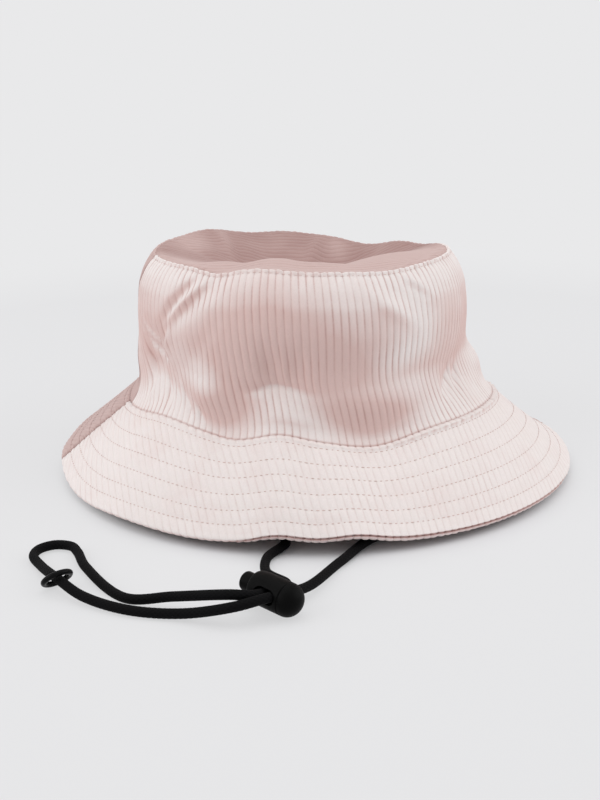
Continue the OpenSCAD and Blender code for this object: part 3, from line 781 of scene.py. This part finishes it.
half_pitch = sums(wales, "MULTIPLY", given["Wale pitch"], 0.5)
off = sums(wales, "DIVIDE", sums(wales, "PINGPONG", named(wales, "grain"), half_pitch), given["Groove width"])
groove = sums(wales, "EXPONENT", sums(wales, "MULTIPLY", sums(wales, "MULTIPLY", off, off), -1.0))
groove = sums(wales, "MULTIPLY", groove, named(wales, "shown"))
pile_height = sums(wales, "MULTIPLY", given["Nap"], named(wales, "shown"))
tuft = sums(wales, "MULTIPLY", sums(wales, "SUBTRACT", field(700.0, 2.0, 7.0), 0.5), pile_height)
rise = sums(wales, "SUBTRACT", tuft, sums(wales, "MULTIPLY", groove, given["Wale height"]))
shift = add(wales, "ShaderNodeVectorMath", {0: named(wales, "out", "FLOAT_VECTOR"), "Scale": rise},
            operation="SCALE").outputs[0]
pressed = add(wales, "GeometryNodeSetPosition", {"Geometry": given["Geometry"], "Offset": shift}).outputs[0]
# the grooves' colour is partly the ground weave's own and partly painted shade; its strength is set per panel
# and varies at random
worn = sums(wales, "MULTIPLY_ADD", field(70.0, 3.0, 3.0), 1.8, -0.15, clamp=True)
tint = sums(wales, "MULTIPLY", sums(wales, "MULTIPLY", groove, given["Groove tint"]), worn)
# painted shade at the seams and in the groove of the brim's edge darkens the colour as the grooves do
tint = sums(wales, "MAXIMUM", tint, named(wales, "crease"))
kept = add(wales, "GeometryNodeStoreNamedAttribute", {"Geometry": pressed, "Name": "groove", "Value": tint},
           data_type="FLOAT", domain="POINT").outputs[0]
end_tree(wales, kept, given["Finish"])
print("tree", wales.name, "has", len(wales.nodes), "nodes")


# %% Grow a tree on a piece, and the corduroy material
def grown(piece, tree, **values):
    modifier = piece.modifiers.new(tree.name, "NODES")
    modifier.node_group = tree
    for item in tree.interface.items_tree:
        label = item.name.replace(" ", "_").lower()
        if item.item_type == "SOCKET" and item.in_out == "INPUT" and label in values:
            modifier[item.identifier] = values[label]
    applied(piece, keep_layers=True)
    return piece


def corduroy(name, lit_colour, shaded_colour, ground):
    material, tree, shader = finish_named(name, 0.92, Sheen_Weight=0.2, Sheen_Roughness=0.45,
                                          Specular_IOR_Level=0.2)
    groove = add(tree, "ShaderNodeAttribute", attribute_name="groove").outputs["Fac"]
    tone = add(tree, "ShaderNodeAttribute", attribute_name="tone").outputs["Fac"]
    pile, cloud = noise(tree, 1500.0, 3.0, Roughness=0.6), noise(tree, 55.0, 3.0)
    uneven = sums(tree, "SUBTRACT", pile, 0.5)
    # painted shade: the lit colour where the cloth faces up, the shaded one where it stands upright or faces
    # down, with a cloudy random tone
    nap = sums(tree, "MULTIPLY_ADD", sums(tree, "SUBTRACT", cloud, 0.5), 0.7, tone, clamp=True)
    # in the grooves the colour turns to the ground weave's browner colour, which also carries painted shade
    deep = sums(tree, "MULTIPLY_ADD", uneven, 0.5, groove)
    deep = add(tree, "ShaderNodeMapRange", {"Value": deep, "From Min": 0.1, "From Max": 1.0},
               interpolation_type="SMOOTHSTEP").outputs[0]
    cloth_colour = mixed(tree, deep, mixed(tree, nap, lit_colour, shaded_colour), ground)
    worn = sums(tree, "MULTIPLY_ADD", uneven, 0.12, 1.0)
    grey = add(tree, "ShaderNodeCombineColor", {0: worn, 1: worn, 2: worn}).outputs[0]
    coloured(tree, shader, mixed(tree, 1.0, cloth_colour, grey, "MULTIPLY"), pile, 0.35, 0.00025)
    return material


# each cloth: a lit colour, a shaded colour painted where it stands upright, and the grooves' colour, partly
# the ground weave's own and partly painted shade
blush_cloth = corduroy("blush corduroy", paint(242, 233, 230), paint(225, 196, 190), paint(198, 157, 151))
rose_cloth = corduroy("rose corduroy", paint(207, 180, 175), paint(170, 137, 132), paint(152, 116, 111))
print("cloths:", blush_cloth.name, "/", rose_cloth.name)

# %% [markdown]
# ## Cutting the panels
#
# A brim half and a crown half are both cut as a piece of a ring, which closes to a cone when it is sewn. On
# the flat piece a point has a distance R from the ring's middle and an angle. Lines along the grain are lines
# of constant x = R sin(angle). Near the side seams such a line leaves the piece before it reaches the inner
# edge; there, the rows that would lie past the seam share one vertex on the seam, so the panel has a clean
# straight side. Each panel gets a back as well, one cloth thickness behind its face, and closed borders.

# %% Pattern of a panel
pitch = 3.2
line_parts = (0, 0.07, 0.16, 0.36, 0.64, 0.84, 0.93)
cloth_t = 1.2


def grain_lines(reach):
    count = int(reach / pitch) + 2
    lines = np.sort(np.concatenate([(np.arange(-count, count) + part) * pitch for part in line_parts]))
    return np.concatenate(([-reach], lines[np.abs(lines) < reach - 0.12], [reach]))


def ring_pattern(seam_radius, step, rows, half_angle):
    side = math.sin(half_angle)
    reach = float((seam_radius + step * rows).max() * side)
    x = grain_lines(reach)
    limit = ((np.abs(x) / side - seam_radius) / step)[:, None]
    past = rows[None] < limit if step > 0 else rows[None] > limit
    at = np.where(past, limit, rows[None])
    number = np.arange(at.size).reshape(at.shape)
    shared = past.sum(1) - 1 if step > 0 else len(rows) - past.sum(1)
    shared = number[np.arange(len(x)), np.clip(shared, 0, len(rows) - 1)]
    used, number = np.unique(np.where(past, shared[:, None], number), return_inverse=True)
    x, at = np.repeat(x, len(rows))[used], at.ravel()[used]
    radius = seam_radius + step * at
    angle = np.arcsin(np.clip(x / radius, -side, side))
    return x, at, 90 * angle / half_angle, (half_angle - np.abs(angle)) * radius, number.reshape(past.shape)


print("a wale is", pitch, "mm wide, with", len(line_parts), "lines of mesh")


# %% Closed sheet of cloth
def grid_corners(number):
    return np.stack((number[:-1, :-1], number[1:, :-1], number[1:, 1:], number[:-1, 1:]), -1).reshape(-1, 4)


def facing(points, corners):
    tris = np.vstack((corners[:, (0, 1, 2)], corners[:, (0, 2, 3)]))
    normal = np.zeros_like(points)
    cross = np.cross(points[tris[:, 1]] - points[tris[:, 0]], points[tris[:, 2]] - points[tris[:, 0]])
    for k in range(3):
        np.add.at(normal, tris[:, k], cross)
    return normal / np.maximum(np.linalg.norm(normal, axis=1), 1e-9)[:, None]


def sheet(name, number, face, outside, thickness, **marks):
    corners = grid_corners(number)
    out = facing(face, corners)
    if (out * outside).sum() < 0:
        corners, out = corners[:, ::-1], -out
    faces = [list(dict.fromkeys(c)) for c in corners.tolist()]
    faces = [f for f in faces if len(f) > 2]
    m = len(face)
    edges = {(f[k - 1], f[k]) for f in faces for k in range(len(f))}
    border = [[b, a, a + m, b + m] for a, b in edges if (b, a) not in edges]
    backs = [[v + m for v in f[::-1]] for f in faces]
    piece = mesh_piece(name, np.vstack((face, face - out * thickness)), faces + backs + border)
    empty = np.zeros(m)
    if marks:
        # painted shade: cloth that faces up gets the lit colour, cloth that stands upright or faces down the
        # shaded one; the patches given add painted light and shade
        marks["tone"] = 1 - ease((out[:, 2] + 0.15) / 0.75) + marks.pop("nap", 0)
    for label, values in marks.items():
        values = np.concatenate((values * (MM if label == "grain" else 1), empty))
        piece.data.attributes.new(label, "FLOAT", "POINT").data.foreach_set("value", values)
    directions = piece.data.attributes.new("out", "FLOAT_VECTOR", "POINT")
    directions.data.foreach_set("vector", np.vstack((out, out)).ravel())
    return piece


print("cloth is", cloth_t, "mm thick")

# %% Crown panels
crown_fan, crown_step, crown_half = 473.0, -68.0, 0.279
side_w, crown_side_sunk, brim_side_sunk = 0.9, 0.8, 0.7  # how wide and deep the side seams are pulled in
side_shade, side_shade_w, foot_shade, foot_shade_w = 0.7, 0.7, 0.35, 0.6  # painted shade at the seams: how dark, and how wide
# painted shade over the rim's hem, and how much the pile is flattened past the rim
hem_shade, hem_shade_from, hem_shade_h, flat_pile, flat_pile_h = 0.4, 1.03, 0.05, 0.2, 0.03
bow_w = 24
left_bow = 9  # the left side seam bows towards the back by this many degrees
light_and_shade_patches = (  # angle, part of the height, half-widths of both, how much painted shade (more is pinker and deeper, less is painted light)
    (251, 0.80, 20, 0.20, 0.60), (300, 0.74, 12, 0.20, -0.30), (215, 0.40, 14, 0.14, -0.35),
    (297, 0.54, 14, 0.13, -0.65), (236, 0.24, 7, 0.24, 0.75), (277, 0.25, 13, 0.24, 0.70),
    (208, 0.13, 12, 0.12, -0.30), (260, 0.42, 12, 0.14, 0.40), (290, 0.46, 10, 0.10, -0.45))
crown_rows = np.concatenate(((-0.05, -0.03, -0.014, 0, 0.012, 0.028, 0.05), np.linspace(0.075, 0.9, 38),
                             (0.92, 0.938, 0.953, 0.966, 0.976, 0.985, 0.993), 1 + 0.012 * np.arange(8)))
wale_sizes = {"wale_pitch": pitch * MM, "wale_height": 0.30 * MM, "groove_width": 0.50 * MM, "nap": 0.12 * MM}


def crown_panel(name, middle, finish):
    x, u, turned_by, from_side, number = ring_pattern(crown_fan, crown_step, crown_rows, crown_half)
    a = middle + turned_by
    a = a - left_bow * soft(turn(a, left_seam), bow_w) * np.sin(np.pi * np.clip(u, 0, 1))
    face = wall_shape(a, u)
    outside = outward(a)
    face = face - outside * (crown_side_sunk * soft(from_side, side_w))[:, None]
    # painted shade at the foot seam and over the rim's hem; below, along the side seams
    over_foot = foot_shade * soft(u * crown_h + 0.3, foot_shade_w)
    over_rim = hem_shade * ease((u - hem_shade_from) / hem_shade_h)
    crease = np.maximum(side_shade * soft(from_side, side_shade_w), np.maximum(over_foot, over_rim))
    # painted light and shade, patch by patch on the wall
    nap = sum(f[4] * soft(turn(a, f[0]), f[2]) * soft(u - f[1], f[3]) for f in light_and_shade_patches)
    piece = sheet(name, number, face, outside, cloth_t, grain=x, crease=crease,
                  shown=1 - flat_pile * ease((u - 1) / flat_pile_h), nap=nap)
    return grown(piece, wales, finish=finish, groove_tint=0.72, **wale_sizes)


halves = (  # name, where it starts, cloth, finish in the part's record
    ("front", left_seam, blush_cloth, "blush_corduroy"), ("back", seam_turn, rose_cloth, "rose_corduroy"))
for place, start, cloth, slot in halves:
    made = belongs(crown_panel(f"crown_{place}_panel", start + 90, cloth), "hat", [f"crown_{place}"])
    print(made.name, len(made.data.polygons), "faces")

# %% Top of the crown
# painted light and shade on the top's facets: x, y, half-widths of both, how much (less is lighter)
top_light_and_shade = ((-48, 36, 10, 16, -0.6), (-29, 46, 3, 16, -0.4), (27, 50, 6, 14, -0.4), (46, 40, 8, 12, -0.2))
upward = np.array((0, 0, 1.0))
lines = grain_lines(top_r - 0.3)
rows = np.sin(np.linspace(-1, 1, 97) * np.pi / 2)
x = (rows[None] * np.sqrt(top_r**2 - lines**2)[:, None]).ravel()
y = np.repeat(lines, len(rows))
from_rim, rim_angle = top_r - np.hypot(x, y), np.degrees(np.arctan2(y, x))
# painted shade in the seam round the top's edge, strongest in front
crease = (0.15 + 0.65 * soft(turn(rim_angle, 265), 70)) * soft(from_rim, 0.8)
# painted shade: the back half of the top is deeper and pinker than the front, a little more so towards the
# right
nap = 1.25 * ease((y + 28) / 46) - 0.42 + 0.1 * ease((x - 15) / 30)
nap = nap + sum(h * soft(x - c, p) * soft(y - d, q) for c, d, p, q, h in top_light_and_shade)
number = np.arange(x.size).reshape(len(lines), len(rows))
crown_top = sheet("crown_top_panel", number, top_shape(x, y), upward, cloth_t, grain=y, crease=crease,
                  shown=np.ones(x.size), nap=nap)
grown(crown_top, wales, finish=rose_cloth, groove_tint=0.5, **wale_sizes)
belongs(crown_top, "hat", ["crown_top"])
print("crown top:", len(crown_top.data.polygons), "faces")

# %% Brim panels
brim_fan, brim_half, brim_cloth_t = 111.7, math.radians(68), 0.9
brim_shift = 4  # the brim's left side seam lies this many degrees behind the crown's
row_flat, row_w = 0.35, 0.8  # how much a row of stitches flattens the pile, and its half-width
lip_shade_in, lip_shade_w, lip_painted_light = 1.2, 1.4, -0.6  # painted shade in the groove of the edge, and painted light on the lip
channel = np.array((-0.8, 0, 0.8))
brim_rows = np.unique(np.round(np.concatenate((np.array((0, 0.4, 0.9, 1.5)), np.arange(2.0, 44.5, 1.4),
                      *[row + channel for row in stitch_rows], np.arange(44.5, 51.2, 0.36))), 2))
brim_rows = brim_rows[np.concatenate(([True], np.diff(brim_rows) > 0.2))]


def side_shifted(a):
    return a - brim_shift * soft(turn(a, left_seam), bow_w)


def brim_panel(name, middle, over, finish):
    x, s, turned_by, from_side, number = ring_pattern(brim_fan, 1.0, brim_rows, brim_half)
    a = side_shifted(middle + turned_by)
    face = brim_shape(a, s, over)
    outside = np.array((0, 0, float(over)))
    face = face - outside * (brim_side_sunk * soft(from_side, side_w))[:, None]
    rows_near = sum(soft(s - row, row_w) for row in stitch_rows)
    _, radius, start, last = brim_edge(a, over)
    # painted shade along the side seams, at the crown seam and in the groove of the edge
    crease = np.maximum(side_shade * soft(from_side, side_shade_w), foot_shade * soft(s, foot_shade_w))
    crease = np.maximum(crease, ease((s - start - radius * last + lip_shade_in) / lip_shade_w))
    piece = sheet(name, number, face, outside, brim_cloth_t, grain=x, crease=crease,
                  shown=1 - row_flat * rows_near, nap=lip_painted_light * ease((s - start + 1) / 2))
    return grown(piece, wales, finish=finish, groove_tint=0.4, **wale_sizes)


for place, start, cloth, slot in halves:
    for layer, over in (("top", 1), ("under", -1)):
        node = f"brim_{layer}_{place}"
        made = belongs(brim_panel(f"{node}_panel", start + 90, over, cloth), "hat", [node])
        print(made.name, len(made.data.polygons), "faces")

# %% [markdown]
# ## Lining, sweatband and stiffener
#
# Inside, the crown is lined with thin off-white cotton, and a band of twill tape goes round the head opening.
# Plain weave is a fine grid of threads over and under each other. Two waves across each other make it, on
# the place round the hat and the height, so the threads follow the cloth. The stiffener lies hidden between
# the brim's two layers, so its CAD solids stay, in a felt finish.

# %% Cotton finishes
def woven(name, light, shade, thread, twill=False, **sockets):
    material, tree, shader = finish_named(name, 0.88, **sockets)
    uv = add(tree, "ShaderNodeSeparateXYZ", {0: add(tree, "ShaderNodeUVMap", uv_map="cloth").outputs[0]})
    a = sums(tree, "MULTIPLY", uv.outputs[0], math.pi / (thread * MM))
    b = sums(tree, "MULTIPLY", uv.outputs[1], math.pi / (thread * MM))
    if twill:
        a = sums(tree, "ADD", a, sums(tree, "MULTIPLY", b, 0.5))
    weave = sums(tree, "MULTIPLY", sums(tree, "SINE", a), sums(tree, "SINE", b))
    weave = sums(tree, "MULTIPLY_ADD", weave, 0.5, 0.5)
    tone = sums(tree, "MULTIPLY_ADD", weave, 0.6, sums(tree, "MULTIPLY", noise(tree, 420.0, 4.0), 0.4))
    coloured(tree, shader, mixed(tree, tone, shade, light), tone, 0.4, 0.00015)
    return material


lining_cotton = woven("lining cotton", paint(240, 234, 228), paint(216, 206, 198), 0.45)
band_twill = woven("sweatband twill", paint(236, 228, 221), paint(205, 192, 184), 0.8, True)
black_tape = woven("black tape", paint(30, 30, 31), paint(11, 11, 11), 0.7, True, Sheen_Weight=0.1)
felt, tree, shader = finish_named("stiffener felt", 0.95)
coloured(tree, shader, mixed(tree, noise(tree, 500.0, 5.0), paint(214, 208, 202), paint(243, 240, 236)))
for name in ("interlining_front", "interlining_back"):
    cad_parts[name].data.materials.clear()
    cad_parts[name].data.materials.append(felt)
print("cottons:", lining_cotton.name, band_twill.name, black_tape.name)


# %% Lining
def lay_uv(piece, u, v):
    layer = piece.data.uv_layers.new(name="cloth")
    corner = corner_vertices(piece)
    layer.data.foreach_set("uv", (np.stack((u[corner], v[corner]), 1) * MM).ravel())


def twice(values):
    return np.concatenate((values.ravel(), values.ravel()))


lining_deep, lining_t, lining_r, lining_girth_r, lining_h = 2.0, 0.4, 64.4, 75, 64


def lined(node, shape, face, outside, across, along):
    number = np.arange(face.shape[0]).reshape(shape)
    out = facing(face, grid_corners(number))
    behind = face - out * np.sign((out * outside).sum()) * lining_deep
    piece = sheet(f"{node}_cloth", number, behind, outside, lining_t)
    lay_uv(piece, twice(across), twice(along))
    piece.data.materials.append(lining_cotton)
    belongs(piece, "hat", [node])
    print(piece.name, len(piece.data.polygons), "faces")


for place, start, *_ in halves:
    angles, rows = np.linspace(start + 0.2, start + 179.8, 150), np.linspace(0.0, 0.985, 35)
    a, u = np.meshgrid(angles, rows, indexing="ij")
    lined(f"lining_{place}", a.shape, wall_shape(a.ravel(), u.ravel()), outward(a.ravel()),
          np.radians(a) * lining_girth_r, u * lining_h)
p, q = np.meshgrid(np.linspace(-1, 1, 61), np.linspace(-1, 1, 61), indexing="ij")
x, y = lining_r * p * np.sqrt(1 - q**2 / 2), lining_r * q * np.sqrt(1 - p**2 / 2)
lined("lining_top", p.shape, top_shape(x.ravel(), y.ravel()), upward, x, y)

# %% Sweatband
band_foot_z, band_h, band_foot, band_girth_r = 24.5, 17.0, 7.0, 81
lean_most, lean_from, lean_over, lean_rate = 3.536, 1.5, 24.8, 0.22  # how the band follows the crown inwards


def band_lean(rise):
    slumped = waist_in * (1 - (1 - np.clip(rise / waist_rise, 0, 1)) ** 2)
    leaning = lean_most * ease((rise + lean_from) / lean_over) + lean_rate * rise
    return np.where(rise > 0, slumped + leaning, 0)


close_rows = np.array((0.0, 0.15, 0.5))
heights = np.concatenate((close_rows, np.linspace(1, band_h - 1, 15), band_h - close_rows[::-1]))
rounded = 0.22 * (soft(heights, 0.35) + soft(heights - band_h, 0.35))
inner = head_r + 0.05 + rounded - band_lean(heights - band_foot)
outer = band_r - rounded - band_lean(heights - band_foot)
outline_r = np.concatenate((outer, inner[::-1]))
outline_z = band_foot_z + np.concatenate((heights, heights[::-1]))
count, m = 240, len(outline_r)
a = np.repeat(360 * np.arange(count) / count, m)
ripple = 0.15 * pucker(a, 1) * np.tile(ease((outline_z - foot_top) / 10), count)
r = np.tile(outline_r, count) + ripple
band = on_ring(*seam_at, r, a, np.tile(outline_z, count))
sweatband = mesh_piece("sweatband_tape", band, hoop_faces(count, m), band_twill)
tidy_normals(sweatband.data)
lay_uv(sweatband, np.radians(a) * band_girth_r, np.tile(outline_z, count))
belongs(sweatband, "hat", ["sweatband"])
print("sweatband:", len(sweatband.data.polygons), "faces")

# %% [markdown]
# ## Cord tabs
#
# At each side seam a short piece of black tape is caught behind the sweatband. Its lower end is rolled into
# a sleeve and sewn round the end of the cord. The tail is a softened slab; the sleeve is turned.

# %% Tape tabs
sleeve_r, sleeve_bore_r, tab_w, tab_t, tail_in, mm_a_degree = 3.32, 2.02, 9.0, 1.5, 82.32, 1.5
tail_top = min(seam_height(0.0), seam_height(180.0)) - brim_stack - 1
rolled = (  # the sleeve's outline: more or less than its radius, and the height
    (-0.5, 8.95), (-0.15, 8.8), (0, 8.4), (0.06, 6.0), (-0.05, 5.2), (0.06, 4.4), (0, 0.4), (-0.2, 0.08),
    (-0.5, 0))
bore = [(sleeve_bore_r + 0.3, 0.02), (sleeve_bore_r, 0.3), (sleeve_bore_r, 6.5)]
sleeve = [(0.05, 9.0), *[(sleeve_r + more, x) for more, x in rolled], *bore, (0.05, 6.6)]


def tape_tab(name, side):
    piece = turned(name, sleeve, 48)
    piece.data.transform(Matrix.Translation(Vector((tab_r, 0, tab_z)) * MM)
                         @ Matrix.Rotation(math.radians(-90), 4, "Y"))
    work = bmesh.new()
    work.from_mesh(piece.data)
    slab = bmesh.ops.create_cube(work, size=1.0)["verts"]
    low, high = (tail_in, -tab_w / 2, tab_z), (tail_in + tab_t, tab_w / 2, tail_top)
    for v in slab:
        v.co = [(low[k] if v.co[k] < 0 else high[k]) * MM for k in range(3)]
    slab_edges = list({e for v in slab for e in v.link_edges})
    bmesh.ops.bevel(work, geom=slab_edges, offset=0.35 * MM, segments=3, affect="EDGES")
    bmesh.ops.recalc_face_normals(work, faces=work.faces)
    work.to_mesh(piece.data)
    work.free()
    piece.data.transform(Matrix.Translation((hat_x * MM, 0, 0)) @ Matrix.Rotation(math.radians(side), 4, "Z"))
    piece.data.shade_smooth()
    piece.data.set_sharp_from_angle(angle=math.radians(60))
    co = np.array([v.co for v in piece.data.vertices]) / MM
    round_hat = np.degrees(np.arctan2(co[:, 1], co[:, 0] - seam_at[0])) % 360
    lay_uv(piece, round_hat * mm_a_degree, co[:, 2])
    piece.data.materials.append(black_tape)
    return belongs(piece, "hat", [name.replace("_tape", "")])


tabs = [tape_tab("cord_tab_left_tape", 180), tape_tab("cord_tab_right_tape", 0)]
print("tabs:", [len(t.data.polygons) for t in tabs], "faces")

# %% [markdown]
# ## Stitches
#
# Lockstitch shows as a row of short, slightly rounded threads that dive into the cloth at each end. There are
# thousands, so they are grown by Geometry Nodes: a line of edges becomes a curve, the curve is cut into equal
# steps, and each step gets one small thread, laid along the line and facing out of the cloth. The lines carry
# the same `out` attribute as the cloth. A little randomness, from a fixed seed, keeps them from looking
# printed.

# %% Geometry Nodes tree for the stitches
stitching, given = new_tree("stitch row", (
    ("Geometry", "Geometry"), ("Stitch step", "Float"), ("Stitch length", "Float"), ("Thread", "Float"),
    ("Finish", "Material")))
line = add(stitching, "GeometryNodeMeshToCurve", {"Mesh": given["Geometry"]}).outputs[0]
line = add(stitching, "GeometryNodeResampleCurve", {"Curve": line, "Length": given["Stitch step"]},
           mode="LENGTH").outputs[0]
grain = add(stitching, "GeometryNodeMeshUVSphere", {"Segments": 6, "Rings": 5, "Radius": 0.5}).outputs[0]
along = add(stitching, "GeometryNodeInputTangent").outputs[0]
lie = add(stitching, "FunctionNodeAlignRotationToVector", {"Vector": along}, axis="X").outputs[0]
faced = {"Rotation": lie, "Vector": named(stitching, "out", "FLOAT_VECTOR")}
lie = add(stitching, "FunctionNodeAlignRotationToVector", faced, axis="Z", pivot_axis="X").outputs[0]
vary = add(stitching, "FunctionNodeRandomValue", {2: 0.55, 3: 1.15, "Seed": 11}, data_type="FLOAT").outputs[1]
long = sums(stitching, "MULTIPLY", given["Stitch length"], vary)
flat = sums(stitching, "MULTIPLY", given["Thread"], 0.8)
size = add(stitching, "ShaderNodeCombineXYZ", {0: long, 1: given["Thread"], 2: flat}).outputs[0]
laid = {"Points": line, "Instance": grain, "Rotation": lie, "Scale": size}
threads = add(stitching, "GeometryNodeInstanceOnPoints", laid).outputs[0]
end_tree(stitching, threads, given["Finish"])
print("tree", stitching.name, "has", len(stitching.nodes), "nodes")


# %% Thread material
def thread(name, light, shade):
    material, tree, shader = finish_named(name, 0.6, Sheen_Weight=0.15)
    coloured(tree, shader, mixed(tree, noise(tree, 1900.0), shade, light))
    return material


blush_thread = thread("blush thread", paint(228, 208, 202), paint(204, 172, 166))
rose_thread = thread("rose thread", paint(200, 170, 165), paint(172, 138, 133))
white_thread = thread("white thread", paint(238, 232, 226), paint(212, 202, 194))
print("threads:", blush_thread.name, rose_thread.name, white_thread.name)


# %% Sewn rows
def sewn(name, rows, finish, step=2.3, length=1.5, width=0.42):
    points, outs, edges = [], [], []
    for line, out in rows:
        first = sum(len(p) for p in points)
        points.append(line)
        outs.append(out)
        edges += [(first + k, first + k + 1) for k in range(len(line) - 1)]
    mesh = bpy.data.meshes.new(name)
    mesh.from_pydata((np.vstack(points) * MM).tolist(), edges, [])
    mesh.attributes.new("out", "FLOAT_VECTOR", "POINT").data.foreach_set("vector", np.vstack(outs).ravel())
    piece = in_scene(name, mesh)
    grown(piece, stitching, stitch_step=step * MM, stitch_length=length * MM, thread=width * MM,
          finish=finish)
    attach(piece, "hat")
    print(name, len(piece.data.polygons), "faces")


def on_brim(a, s, over):
    here = brim_shape(a, 0 * a + s, over)
    out = np.cross(brim_shape(a, 0 * a + s + 0.6, over) - brim_shape(a, 0 * a + s - 0.6, over),
                   brim_shape(a + 0.2, 0 * a + s, over) - brim_shape(a - 0.2, 0 * a + s, over))
    out *= np.sign(out[:, 2:] * over) / np.linalg.norm(out, axis=1)[:, None]
    return here + 0.05 * out, out


for (place, start, _, slot), finish in zip(halves, (blush_thread, rose_thread)):
    a = np.linspace(start + 0.4, start + 179.6, 220)
    rows = [on_brim(side_shifted(a), row, over) for row in stitch_rows for over in (1, -1)]
    sewn(f"brim_stitches_{place}", rows, finish)
    out = on_ring(0, 0, rim_out, a, 0 * a + rim_up)
    row = wall_shape(a, 0 * a + 1 - rim_row / rim_slope)
    sewn(f"rim_stitches_{place}", [(row, out)], finish, 2.4, 1.9)
inside = -outward(np.linspace(0, 360, 361))
row = np.append(seam_at, band_foot_z + 1.8) - inside * (head_r + 0.02)
sewn("sweatband_stitches", [(row, inside)], white_thread)

# %% [markdown]
# ## Floor and light
#
# The hat lies on a plain pale floor that goes on to the horizon, between three large softboxes: one above
# and one at each side, with a little light from all around. Together they light a level white surface to
# about white, so each colour renders about as it is written. Close under the brim the floor shows the hat's
# shadow. Just outside the brim the floor glows, for the eye alone, as painted light that lifts most of that
# shadow, a little further out in front. Further out it turns, for the eye alone, into the even grey of the
# surroundings, so no horizon shows.

# %% Pale floor
def seen_directly(tree):
    path = add(tree, "ShaderNodeLightPath").outputs
    mirrored = sums(tree, "MAXIMUM", path["Is Glossy Ray"], path["Is Transmission Ray"])
    return sums(tree, "MAXIMUM", path["Is Camera Ray"], mirrored)


def fading(tree, middle, start, end, most):
    place = add(tree, "ShaderNodeTexCoord").outputs["Object"]
    away = add(tree, "ShaderNodeVectorMath", {0: place, 1: middle}, operation="DISTANCE").outputs["Value"]
    inputs = {"Value": away, "From Min": start, "From Max": end, "To Max": most}
    return add(tree, "ShaderNodeMapRange", inputs, interpolation_type="SMOOTHSTEP").outputs[0]


backdrop = paint(233, 233, 234)
floor_material, tree, shader = finish_named("pale floor", 0.9, Specular_IOR_Level=0.1)
coloured(tree, shader, mixed(tree, noise(tree, 1.5), paint(222, 222, 224), paint(226, 226, 228)))
# painted light: just outside the brim the floor glows for the eye, up to seven tenths, and lifts the hat's
# shadow; its middle lies 12 mm to the front
painted_light_near_hat = fading(tree, (0, -0.012, 0), 0.102, 0.122, 0.7)
far = sums(tree, "MAXIMUM", painted_light_near_hat, fading(tree, (0, 0, 0), 0.10, 0.55, 1.0))
glow = add(tree, "ShaderNodeEmission", {"Color": backdrop, "Strength": 1.0}).outputs[0]
share = sums(tree, "MULTIPLY", seen_directly(tree), far)
both = add(tree, "ShaderNodeMixShader", {0: share, 1: shader.outputs[0], 2: glow}).outputs[0]
tree.links.new(both, tree.nodes["Material Output"].inputs["Surface"])
near_reach, far_reach = 1500, 30000
round_it = np.radians(np.arange(0, 360, 3.75))
points = [(reach * math.cos(t), reach * math.sin(t), 0)
          for reach in (near_reach, far_reach) for t in round_it]
m = len(round_it)
faces = [list(range(m))] + [[k, m + k, m + (k + 1) % m, (k + 1) % m] for k in range(m)]
mesh_piece("floor", points, faces, floor_material)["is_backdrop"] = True
print("floor", far_reach / 1000, "m round the hat")

# %% Softboxes and surroundings
softboxes = (  # name, watts, side and place in metres
    ("overhead softbox", 7.0, 1.5, (-0.1, 0.05, 1.4)), ("left softbox", 7.0, 1.2, (-1.3, -0.3, 0.7)),
    ("right softbox", 7.4, 1.2, (1.3, -0.3, 0.7)))
lit_point = Vector((0, 0, 0.05))
for name, watts, side, place in softboxes:
    lamp = bpy.data.lights.new(name, "AREA")
    lamp.energy, lamp.size = watts, side
    softbox = in_scene(name, lamp)
    softbox.location = place
    softbox.rotation_mode = "QUATERNION"
    softbox.rotation_quaternion = (lit_point - softbox.location).to_track_quat("-Z", "Y")

world = bpy.data.worlds.new("studio")
world.use_nodes = True
tree = world.node_tree
ground = tree.nodes["Background"]
ground.inputs["Color"].default_value = backdrop
tree.links.new(sums(tree, "MULTIPLY_ADD", seen_directly(tree), 0.4, 0.6), ground.inputs["Strength"])
bpy.context.scene.world = world
bpy.context.scene.view_settings.view_transform = "Standard"
print("softboxes:", [(name, watts) for name, watts, *_ in softboxes])

# %% [markdown]
# ## Sizes, and the end
#
# The dressed hat must stay the size of the CAD part, so both boxes are compared, and how far the dressed hat
# grows past the CAD part is printed.

# %% Compare the boxes
visual_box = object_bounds()
growth = [[round((v - c) / MM, 1) for v, c in zip(p, q)] for p, q in zip(visual_box, cad_box)]
print("grows by, in mm:", growth)
